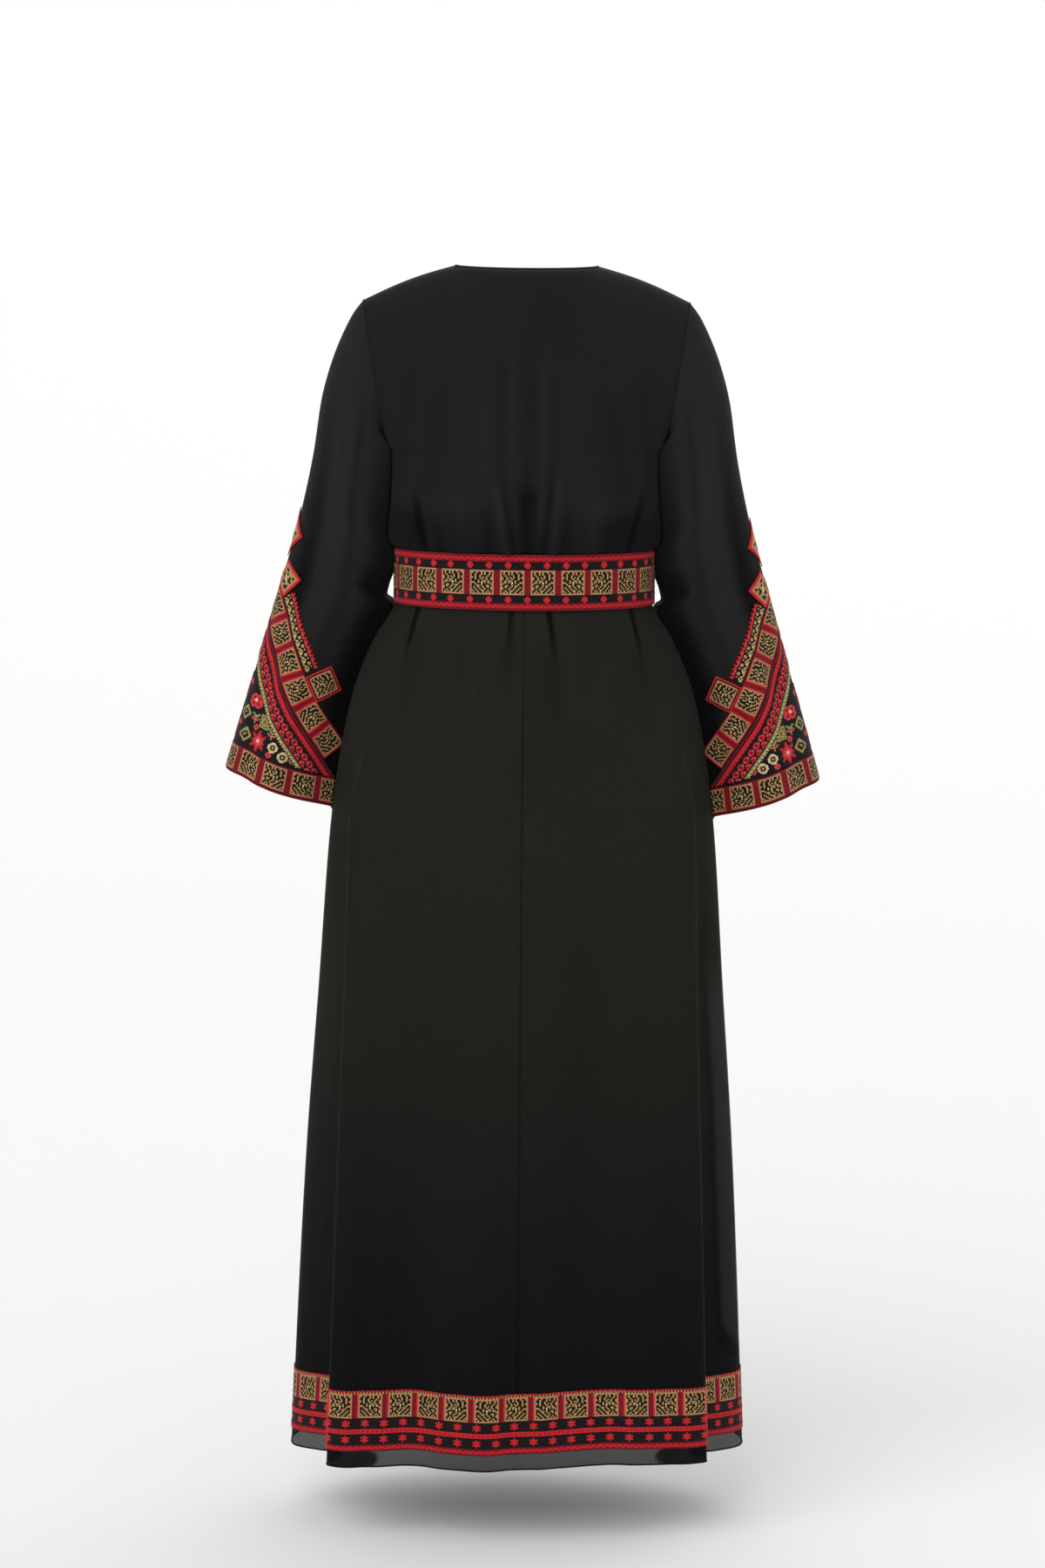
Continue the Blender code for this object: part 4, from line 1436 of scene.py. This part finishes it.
def thread_material(name, gold):
    """Dyed cotton cross stitch, or the same in gold thread."""
    material, tree, shader = new_material(name, 0.5 if gold else 0.75, 0.3 if gold else 0.08)
    thread = add_node(tree, "ShaderNodeAttribute", attribute_name="thread")
    uv = add_node(tree, "ShaderNodeUVMap")
    cell = add_node(tree, "ShaderNodeVectorMath", {0: uv}, operation="FRACTION")
    half = (0.5, 0.5, 0.0)
    centre = add_node(tree, "ShaderNodeVectorMath", {0: cell, 1: half}, operation="SUBTRACT")
    parts = add_node(tree, "ShaderNodeSeparateXYZ", {0: centre}).node
    x, y = parts.outputs["X"], parts.outputs["Y"]
    wide = add_node(tree, "ShaderNodeMath", {0: x}, operation="ABSOLUTE")
    high = add_node(tree, "ShaderNodeMath", {0: y}, operation="ABSOLUTE")
    rim = add_node(tree, "ShaderNodeMath", {0: wide, 1: high}, operation="MAXIMUM")
    slant = add_node(tree, "ShaderNodeMath", {0: wide, 1: high}, operation="SUBTRACT")
    slant = add_node(tree, "ShaderNodeMath", {0: slant}, operation="ABSOLUTE")
    # The two legs of each cross are its ridges, and its rim is the gap to the next stitch
    ridge = add_node(tree, "ShaderNodeMapRange", {0: slant, 1: 0.0, 2: 0.35, 3: 1.0, 4: 0.0})
    gap = add_node(tree, "ShaderNodeMapRange", {0: rim, 1: 0.34, 2: 0.5, 3: 1.0, 4: 0.0})
    relief = add_node(tree, "ShaderNodeMath", {0: ridge, 1: gap}, operation="MULTIPLY")
    # Painted shade in the gaps between stitches and a painted highlight along the legs of each cross
    shade = add_node(tree, "ShaderNodeMapRange", {0: relief, 1: 0.0, 2: 1.0, 3: 0.66, 4: 1.18})
    tint = add_node(tree, "ShaderNodeVectorMath", {0: thread, 1: shade}, operation="MULTIPLY")
    tree.links.new(tint, shader.inputs["Base Color"])
    bump = add_node(tree, "ShaderNodeBump", {"Height": relief, "Distance": 0.0004, "Strength": 0.6})
    tree.links.new(bump, shader.inputs["Normal"])
    shader.inputs["Metallic"].default_value = 0.35 if gold else 0.0
    shader.inputs["Sheen Weight"].default_value = 0.0 if gold else 0.05
    return material


def take_material(name, make, *values):
    """The material of a name, made once."""
    return bpy.data.materials.get(name) or make(name, *values)


def finish_piece(piece, materials, nodes=()):
    """Gives a piece its materials, its body and the frame's nodes that it replaces."""
    for material in materials:
        piece.data.materials.append(material)
    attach(piece, BODY)
    if nodes:
        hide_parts(*nodes)
    return piece


def crepe(settings):
    """Matt black crepe, for the bodice, the bindings and the rolled hem."""
    return take_material("black_crepe", cloth_material, settings)


def chiffon(settings):
    """Sheer black chiffon, for the sleeves, painted lighter for what shows through them and painted darker
    lower down as painted shade.
    """
    alpha = 1 - settings.sleeve_light
    return take_material("black_chiffon", cloth_material, settings, alpha, False, CHIFFON_LOOK)


def lined_chiffon(settings):
    """Black chiffon over its lining, sheer where it has none, for the skirt, with painted warm light on its
    upper part and painted shade lower down.
    """
    return take_material("lined_chiffon", cloth_material, settings, 1 - settings.hem_light, True)


def threads():
    """The two embroidery materials: dyed cotton, and gold thread."""
    return [
        take_material("cotton_cross_stitch", thread_material, False),
        take_material("gold_thread_stitch", thread_material, True),
    ]


def thread_colours(settings):
    """The linear colour of each letter."""
    colours = {row[0]: linear(row[2]) for row in THREADS[1:]}
    for letter, value in (("r", settings.red), ("d", settings.dark_red), ("g", settings.gold)):
        colours[letter] = tuple(value)
    return colours


def bodice_side(name, side, columns, upper, lower, settings):
    """One side of the bodice. Returns its points and normals, before it is turned round."""
    share = np.linspace(-1, 1, columns + 1)
    angle = share[None, :] * math.pi / 2
    height = np.linspace(1, 0, upper + 1)[:, None]
    z = np.linspace(UNDERARM_Z, WAIST_Z, lower + 1)[1:, None]
    grid = np.concatenate([bodice_upper(angle, height, side), bodice_lower(angle, z, side)])
    on_shoulder = np.abs(share) >= NECK_SHARE
    grid[0, on_shoulder, 1] = -SEAM_LAP / 2
    grid[upper:, [0, -1], 1] = -SEAM_LAP / 2
    out = normals(grid, False)
    out[upper + 1 :, [0, -1], 1] = 0
    out[0, np.abs(share) > NECK_SHARE - 1 / columns, 1] = 0
    out /= np.linalg.norm(out, axis=2, keepdims=True)
    # Painted shade: darker in the folds' troughs, lighter on their ridges, darker where the bodice turns in
    # above the belt and along the seams
    x, z = grid[..., 0], grid[..., 2]
    shade = hollow(bodice_folds(x, z, side) * np.interp(z, *FOLD_STRENGTH))
    off = x / BLOUSE_HALF
    under = smooth_step((BLOUSE_Z - z) / BLOUSE_REACH + BLOUSE_CURVE * off**2)
    under = under * (BLOUSE_MIDDLE + BLOUSE_SIDES * off**4)
    shade = 1 - (1 - shade) * (1 - BLOUSE_SHADE * under)
    shade[0, on_shoulder] = shade[upper:, [0, -1]] = SEAM_SHADE
    if side == "front":
        grid, out, shade = grid[:, ::-1] * (1, -1, 1), out[:, ::-1] * (1, -1, 1), shade[:, ::-1]
    piece = cloth(name + "_cloth", grid, edge_out=out, hollow=shade)
    finish_piece(piece, [crepe(settings)], [name])
    return piece, grid, out, np.abs(share) <= NECK_SHARE


def make_bodice(settings):
    """The bodice, the binding round its neck and the welts round its armholes."""
    back, back_grid, back_out, neck = bodice_side("bodice_back", "back", 150, 62, 60, settings)
    front, front_grid, front_out, _ = bodice_side("bodice_front", "front", 100, 44, 40, settings)
    front_neck = np.abs(np.linspace(-1, 1, 101)) <= NECK_SHARE
    path = [back_grid[0, neck] - back_out[0, neck] * CLOTH / 2]
    path.append(front_grid[0, front_neck] - front_out[0, front_neck] * CLOTH / 2)
    binding = tube("neck_binding", np.concatenate(path), settings.binding / 2 / MM, True)
    finish_piece(binding, [crepe(settings)])
    for word, side, drop in SLEEVE_SIDES:
        ring = sleeve_grid(40, 120, drop)[0] - (SEAM / 2, 0, 0)
        welt = tube("armhole_seam_" + word, ring * (side, 1, 1), settings.welt / 2 / MM, True)
        finish_piece(welt, [crepe(settings)])


def skirt_sheer(angle, z):
    """How sheer the skirt is, 0 to 1: below the band, and where one layer shows at a side."""
    edge = HEM_Z + HEM_EDGE
    low = smooth_step(edge - z)
    off = (np.abs(angle) - SHEER_MIDDLE) / SHEER_HALF
    low_end = SHEER_END + SHEER_ROUND * (1 - np.sqrt(np.clip(1 - off**2, 0, 1)))
    strip = smooth_step((1 - np.abs(off)) / SHEER_SOFT) * soft(z, *SHEER_Z)
    strip = strip * np.where(angle > 0, SHEER_LEFT, 1.0)
    up = (z - HEM_Z - FACING_MIDDLE) / FACING_HALF
    round_end = FACING_ROUND * (1 - np.sqrt(np.clip(1 - up**2, 0, 1)))
    turned = (np.abs(np.abs(angle) - FACING_ANGLE) + round_end) / HEM_FACING
    double = smooth_step((1 - turned) / FACING_SOFT)
    low = low * (1 - FACING_SHADE * double)
    return np.maximum(low, strip * smooth_step((z - low_end) / SHEER_END_SOFT))


def make_skirt(settings):
    """The skirt's three panels and its rolled hem."""
    half = np.round(spans(SKIRT_COLUMNS), 6)
    angle = np.concatenate([-half[:0:-1], half[:-1]])
    levels = spans(SKIRT_ROWS)
    grid = hung_skirt(angle, levels)
    out = normals(grid, True)
    z = levels[:, None]
    sheer = skirt_sheer(angle[None, :], z)
    # Painted shade: darker in the folds' troughs, beside the side folds and along the centre back seam, and
    # lighter on the ridges
    shade = hollow(sum(skirt_folds(angle[None, :], grid[..., 0], z, crisp=CRISP)))
    beside = np.exp(-(((np.abs(angle[None, :]) - SIDE_SHADE_ANGLE) / SIDE_SHADE_WIDTH) ** 2))
    shade = shade + SIDE_SHADE * beside * soft(z, *SIDE_SHADE_Z)
    shade = shade + SEAM_SHADE * (angle == 0)
    # Painted light: the left's sheer strip is painted lighter in place of the light it lets through
    shade = shade - SHEER_LIGHT * np.where(angle > 0, sheer, 0) * (z > HEM_Z + HEM_EDGE)
    zero, seam = len(half) - 1, int(np.argmin(np.abs(half - SIDE_SEAM_ANGLE)))
    panels = (
        ("skirt_back_right", list(range(zero - seam, zero + 1))),
        ("skirt_back_left", list(range(zero, zero + seam + 1))),
        ("skirt_front", [*range(zero + seam, len(angle)), *range(0, zero - seam + 1)]),
    )
    made = {}
    for name, pick in panels:
        wall = grid[:, pick].copy()
        for edge, beside in ((0, 1), (-1, -2)):
            way = wall[:, beside] - wall[:, edge]
            wall[:, edge] -= SEAM_LAP / 2 * way / np.linalg.norm(way, axis=1, keepdims=True)
        looks = {"sheer": sheer[:, pick], "hollow": shade[:, pick]}
        made[name] = cloth(name + "_cloth", wall, edge_out=out[:, pick], **looks)
        finish_piece(made[name], [lined_chiffon(settings)], [name])
    rim = grid[-1] - out[-1] * CLOTH / 2
    hem = tube("rolled_hem", rim, settings.hem_roll / 2 / MM, True)
    finish_piece(hem, [crepe(settings)])
    return made


def make_hem_bands(settings):
    """The embroidered band above the hem, in a back part and a front part."""
    parts = (
        ("back", -SIDE_SEAM_ANGLE, SIDE_SEAM_ANGLE, ["hem_band_back_left", "hem_band_back_right"]),
        ("front", SIDE_SEAM_ANGLE, 360 - SIDE_SEAM_ANGLE, ["hem_band_front"]),
    )
    for side, low, high, nodes in parts:
        fine = np.linspace(low + BAND_INSET, high - BAND_INSET, 4001)
        turned = np.where(fine > 180, fine - 360, fine)
        middle = hung_skirt(turned, [HEM_Z + HEM_EDGE + HEM_BAND / 2])[0]
        reach = lengths(middle)
        columns = round(reach[-1] / STITCH)
        columns_at = np.interp(np.linspace(0, reach[-1], columns + 1), reach, fine)
        columns_at = np.where(columns_at > 180, columns_at - 360, columns_at)
        rows_at = np.linspace(HEM_Z + HEM_EDGE + HEM_BAND, HEM_Z + HEM_EDGE, HEM_ROWS + 1)
        grid = hung_skirt(columns_at, rows_at)
        out = normals(grid, False)
        zero = int(np.argmin(np.abs(columns_at))) if side == "back" else 0
        start = zero + HEM_BAR if side == "back" else HEM_FRONT_BAR
        letters = hem_chart(columns, start, round(columns / HEM_STAR_STEP))
        if side == "back":
            for edge in (-FOLD_EDGE_ANGLE, FOLD_EDGE_ANGLE):
                c = int(np.argmin(np.abs(columns_at - edge)))
                letters[:, c - 1 : c + 1] = "r"
        patch = (letters, grid, out, False, 0.0)
        band = stitches("hem_embroidery_" + side, [patch], thread_colours(settings))
        finish_piece(band, threads(), nodes)


def make_sleeves(settings, thread):
    """Both sleeves, with the embroidery over the arm and round the cuff."""
    for word, side, drop in SLEEVE_SIDES:
        mirror = side < 0
        rows, columns = SLEEVE_SIZE
        grid = sleeve_grid(rows, columns, drop)
        out = normals(grid, True)
        armhole = np.array((SHOULDER_HALF - UNDERARM_HALF, 0, -SHOULDER_DROP - UNDERARM_Z))
        across = np.cross(armhole, (0, 1, 0)) / np.linalg.norm(armhole)
        out[0] -= (out[0] @ across)[:, None] * across
        out /= np.linalg.norm(out, axis=2, keepdims=True)
        turn = np.linspace(0, 2 * math.pi, columns + 1)[:-1][None, :]
        # Painted shade in the troughs of the sleeve's folds, and a painted highlight on their ridges
        shade = hollow(SLEEVE_SHADE * sleeve_folds(turn, np.linspace(0, 1, rows + 1)[:, None]))
        name = "sleeve_" + word + "_cloth"
        piece = cloth(name, grid, True, edge_out=out, mirror=mirror, hollow=shade)
        finish_piece(piece, [chiffon(settings)], ["sleeve_" + word])

        fine = sleeve_grid(*SLEEVE_FINE, drop)
        place = sleeve_places(fine)
        patches = []
        for letters, flat, more in sleeve_patches():
            points, faces = place(flat)
            patches.append((letters, points, faces, False, more))
        colours = thread_colours(thread)
        colours["k"] = linear(SLEEVE_GROUND)
        art = stitches("sleeve_embroidery_" + word, patches, colours, mirror)
        finish_piece(art, threads())

        letters = cuff_chart()
        points, faces = round_band(fine, CUFF_EDGE + CUFF_BAND, CUFF_EDGE, *letters.shape)
        patch = (letters, points, faces, True, 0.0)
        band = stitches("cuff_embroidery_" + word, [patch], colours, mirror)
        finish_piece(band, threads(), ["cuff_band_" + word])
        ring = fine[-1, ::3] - normals(fine, True)[-1, ::3] * CLOTH / 2
        rim = tube("cuff_edge_" + word, ring * (side, 1, 1), CUFF_CORD, True)
        finish_piece(rim, [take_material("red_cord", cord_material, thread)])


def sleeve_patches():
    """The embroidery on a sleeve, as letters, flat places and how far it stands out more."""
    patches = []
    for name, letters_for, count in (
        ("squares", arch_squares, SQUARE_SIDE + 2),
        ("red", arch_red, 7),
        ("loops", arch_loops, len(LOOPS)),
        ("line", arch_edge, 3),
        ("dots", arch_dots, len(DOTS)),
    ):
        patches.append((*arch_row(letters_for, ARCH_INSIDE[name], count), 0.0))
    patches.append((*filling(), 0.0))
    for x, y, turn, stitch, coarse in DIAMONDS[1:]:
        for way in (1, -1) if x else (1,):
            patches.append((*diamond(way * x, y, way * turn, stitch, coarse), DIAMOND_LIFT))
    return patches


def cord_material(name, settings):
    """Dark red cotton cord along the embroidery's edges."""
    material, _, shader = new_material(name, 0.75, 0.2)
    shader.inputs["Base Color"].default_value = (*settings.dark_red, 1)
    return material


def make_belt(settings):
    """The belt: a thick embroidered band round the waist, with a cord along each edge."""
    turn = np.linspace(0, 2 * math.pi, 7201)
    depth = np.where(np.cos(turn) > 0, BELT_BACK, BELT_FRONT)
    oval = np.stack([BELT_HALF * np.sin(turn), depth * np.cos(turn)], axis=1)
    reach = lengths(oval)
    at = (np.arange(BELT_STITCHES) / BELT_STITCHES * reach[-1] + BELT_START) % reach[-1]
    plan = np.stack([np.interp(at, reach, oval[:, k]) for k in (0, 1)], axis=1)
    plan = plan * (1 - (BELT_THICK - CLOTH) / BELT_HALF)
    levels = np.linspace(BELT_TOP, BELT_BOTTOM, BELT_ROWS + 1)
    grid = np.stack([np.insert(plan, 2, z, axis=1) for z in levels])
    base = cloth("belt_band", grid[::3], True, wall=BELT_WALL)
    finish_piece(base, [take_material("red_cord", cord_material, settings)], ["belt"])
    patch = (belt_chart(), grid, normals(grid, True), True, 0.0)
    art = stitches("belt_embroidery", [patch], thread_colours(settings), lift=0.1)
    finish_piece(art, threads())
    cords = []
    for word, z in (("top", BELT_TOP), ("bottom", BELT_BOTTOM)):
        ring = np.insert(plan[::2], 2, z, axis=1)
        cords.append(tube("belt_edge_" + word, ring, BELT_CORD, True))
        finish_piece(cords[-1], [take_material("red_cord", cord_material, settings)])


def stage_mesh(name, profile, sides):
    """A round floor that rises into a wall, from its radius and height at each step."""
    turn = np.arange(sides) * 2 * math.pi / sides
    points = [(0.0, 0.0, profile[0][1])]
    for radius, z in profile:
        points += [(radius * math.sin(t), radius * math.cos(t), z) for t in turn]
    faces = [(0, 1 + (k + 1) % sides, 1 + k) for k in range(sides)]
    for i in range(len(profile) - 1):
        low, high = 1 + i * sides, 1 + (i + 1) * sides
        for k in range(sides):
            m = (k + 1) % sides
            faces.append((low + k, low + m, high + m, high + k))
    mesh = bpy.data.meshes.new(name)
    mesh.from_pydata(points, [], faces)
    mesh.shade_smooth()
    piece = bpy.data.objects.new(name, mesh)
    bpy.context.scene.collection.objects.link(piece)
    return piece


def facing(turn, down):
    """The rotation of a lamp or camera that is turned round and looks down, in degrees."""
    tilt = Matrix.Rotation(math.radians(90 - down), 4, "X")
    return Matrix.Rotation(math.radians(turn), 4, "Z") @ tilt


def make_stage(settings):
    """A plain pale studio with soft light, and the camera at the photo's angle."""
    rise = np.linspace(0, math.pi / 2, WALL_STEPS + 1)
    profile = [(FLOOR_RING, FLOOR_Z), (FLOOR_RADIUS, FLOOR_Z)]
    for t in rise[1:]:
        across = FLOOR_RADIUS + (WALL_RADIUS - FLOOR_RADIUS) * math.sin(t)
        profile.append((across, FLOOR_Z + WALL_HEIGHT * (1 - math.cos(t))))
    floor = stage_mesh("studio_floor", profile, STAGE_SIDES)
    material, _, shader = new_material("matt_paper", 0.9, 0.1)
    shader.inputs["Base Color"].default_value = (*settings.paper, 1)
    floor.data.materials.append(material)

    world = bpy.data.worlds.new("studio_light")
    bpy.context.scene.world = world
    world.use_nodes = True
    background = world.node_tree.nodes["Background"]
    background.inputs["Color"].default_value = (*linear(ROOM_LIGHT), 1)
    background.inputs["Strength"].default_value = settings.fill
    for name, turn, tilt, power, spread in LIGHTS[1:]:
        data = bpy.data.lights.new(name, "SUN")
        data.energy, data.angle = power * settings.key, math.radians(spread)
        lamp = bpy.data.objects.new(name, data)
        bpy.context.scene.collection.objects.link(lamp)
        lamp.matrix_world = facing(turn, tilt)

    data = bpy.data.cameras.new("photo_camera")
    data.sensor_fit, data.sensor_width, data.lens = "AUTO", SENSOR, LENS
    camera = bpy.data.objects.new("photo_camera", data)
    bpy.context.scene.collection.objects.link(camera)
    turn = facing(180, CAMERA_DOWN) @ Matrix.Rotation(math.radians(CAMERA_ROLL), 4, "Z")
    camera.matrix_world = Matrix.Translation(CAMERA_PLACE) @ turn
    bpy.context.scene.camera = camera
    bpy.context.scene.view_settings.view_transform = "Standard"


def colour_setting(name, text, description):
    """A colour that the user can change."""
    return bpy.props.FloatVectorProperty(
        name=name, description=description, subtype="COLOR", size=3, min=0, max=1, default=linear(text)
    )


def length_setting(name, size, description):
    """A length that the user can change. size is in mm."""
    return bpy.props.FloatProperty(
        name=name, description=description, subtype="DISTANCE", unit="LENGTH", min=0.0002, default=size * MM
    )


def share_setting(name, share, description):
    """A share from 0 to 1 that the user can change."""
    return bpy.props.FloatProperty(
        name=name, description=description, subtype="FACTOR", min=0, max=1, default=share
    )


class DRESS_PG_cloth(bpy.types.PropertyGroup):
    """The dress's cloth"""

    cloth: colour_setting("Cloth", "#1b1b1e", "Colour of the black cloth")
    sleeve_light: share_setting("Sleeve light", 0.08, "Light that one face of a sleeve lets through")
    hem_light: share_setting("Hem light", 0.33, "Light that one face of the sheer hem lets through")
    binding: length_setting("Neck binding", 3.6, "Thickness of the binding round the neck")
    welt: length_setting("Armhole seam", 1.6, "Thickness of the ridge along the armhole seam")
    hem_roll: length_setting("Rolled hem", 2.0, "Thickness of the rolled hem")


class DRESS_PG_embroidery(bpy.types.PropertyGroup):
    """The dress's embroidery"""

    red: colour_setting("Red", "#c8262c", "Colour of the bright red thread")
    dark_red: colour_setting("Dark red", "#7d1523", "Colour of the dark red thread")
    gold: colour_setting("Gold", "#b99659", "Colour of the gold thread")


class DRESS_PG_studio(bpy.types.PropertyGroup):
    """The studio"""

    paper: colour_setting("Paper", "#f0f1f1", "Colour of the floor and the wall")
    fill: bpy.props.FloatProperty(
        name="Fill", description="Strength of the light from all round", min=0, default=0.67
    )
    key: bpy.props.FloatProperty(
        name="Key", description="Strength of the two soft lamps", min=0, default=1.0
    )


class DRESS_OT_bodice(bpy.types.Operator):
    """Makes the bodice with its neck binding and armhole seams"""

    bl_idname = "dress.bodice"
    bl_label = "Bodice"

    def execute(self, context):
        make_bodice(context.scene.dress_cloth)
        return {"FINISHED"}


class DRESS_OT_skirt(bpy.types.Operator):
    """Makes the skirt with its rolled hem and embroidered bands"""

    bl_idname = "dress.skirt"
    bl_label = "Skirt"

    def execute(self, context):
        panels = make_skirt(context.scene.dress_cloth)
        make_hem_bands(context.scene.dress_embroidery)
        return {"FINISHED"}


class DRESS_OT_sleeves(bpy.types.Operator):
    """Makes both sleeves with their embroidery and cuff bands"""

    bl_idname = "dress.sleeves"
    bl_label = "Sleeves"

    def execute(self, context):
        make_sleeves(context.scene.dress_cloth, context.scene.dress_embroidery)
        return {"FINISHED"}


class DRESS_OT_belt(bpy.types.Operator):
    """Makes the embroidered belt"""

    bl_idname = "dress.belt"
    bl_label = "Belt"

    def execute(self, context):
        make_belt(context.scene.dress_embroidery)
        return {"FINISHED"}


class DRESS_OT_studio(bpy.types.Operator):
    """Makes the floor, the light and the camera"""

    bl_idname = "dress.studio"
    bl_label = "Studio"

    def execute(self, context):
        make_stage(context.scene.dress_studio)
        return {"FINISHED"}


class DRESS_PT_panel(bpy.types.Panel):
    """The dress's settings and its pieces"""

    bl_label = "Embroidered dress"
    bl_space_type = "VIEW_3D"
    bl_region_type = "UI"
    bl_category = "Dress"

    def draw(self, context):
        for group, names in (
            ("dress_cloth", ("bodice", "skirt", "sleeves")),
            ("dress_embroidery", ("belt",)),
            ("dress_studio", ("studio",)),
        ):
            box = self.layout.box()
            settings = getattr(context.scene, group)
            for key in settings.bl_rna.properties.keys():
                if key not in ("rna_type", "name"):
                    box.prop(settings, key)
            for name in names:
                box.operator("dress." + name)


GROUPS = (
    ("dress_cloth", DRESS_PG_cloth),
    ("dress_embroidery", DRESS_PG_embroidery),
    ("dress_studio", DRESS_PG_studio),
)
CLASSES = (
    DRESS_OT_bodice,
    DRESS_OT_skirt,
    DRESS_OT_sleeves,
    DRESS_OT_belt,
    DRESS_OT_studio,
    DRESS_PT_panel,
)


def register():
    """Adds the settings, the operators and the panel to Blender."""
    for name, group in GROUPS:
        bpy.utils.register_class(group)
        setattr(bpy.types.Scene, name, bpy.props.PointerProperty(type=group))
    for item in CLASSES:
        bpy.utils.register_class(item)


def unregister():
    """Takes them out again."""
    for item in reversed(CLASSES):
        bpy.utils.unregister_class(item)
    for name, group in reversed(GROUPS):
        delattr(bpy.types.Scene, name)
        bpy.utils.unregister_class(group)


def main():
    """Makes the whole dress and its studio."""
    register()
    bpy.ops.dress.bodice()
    bpy.ops.dress.skirt()
    bpy.ops.dress.sleeves()
    bpy.ops.dress.belt()
    bpy.ops.dress.studio()


if __name__ == "__main__":
    main()
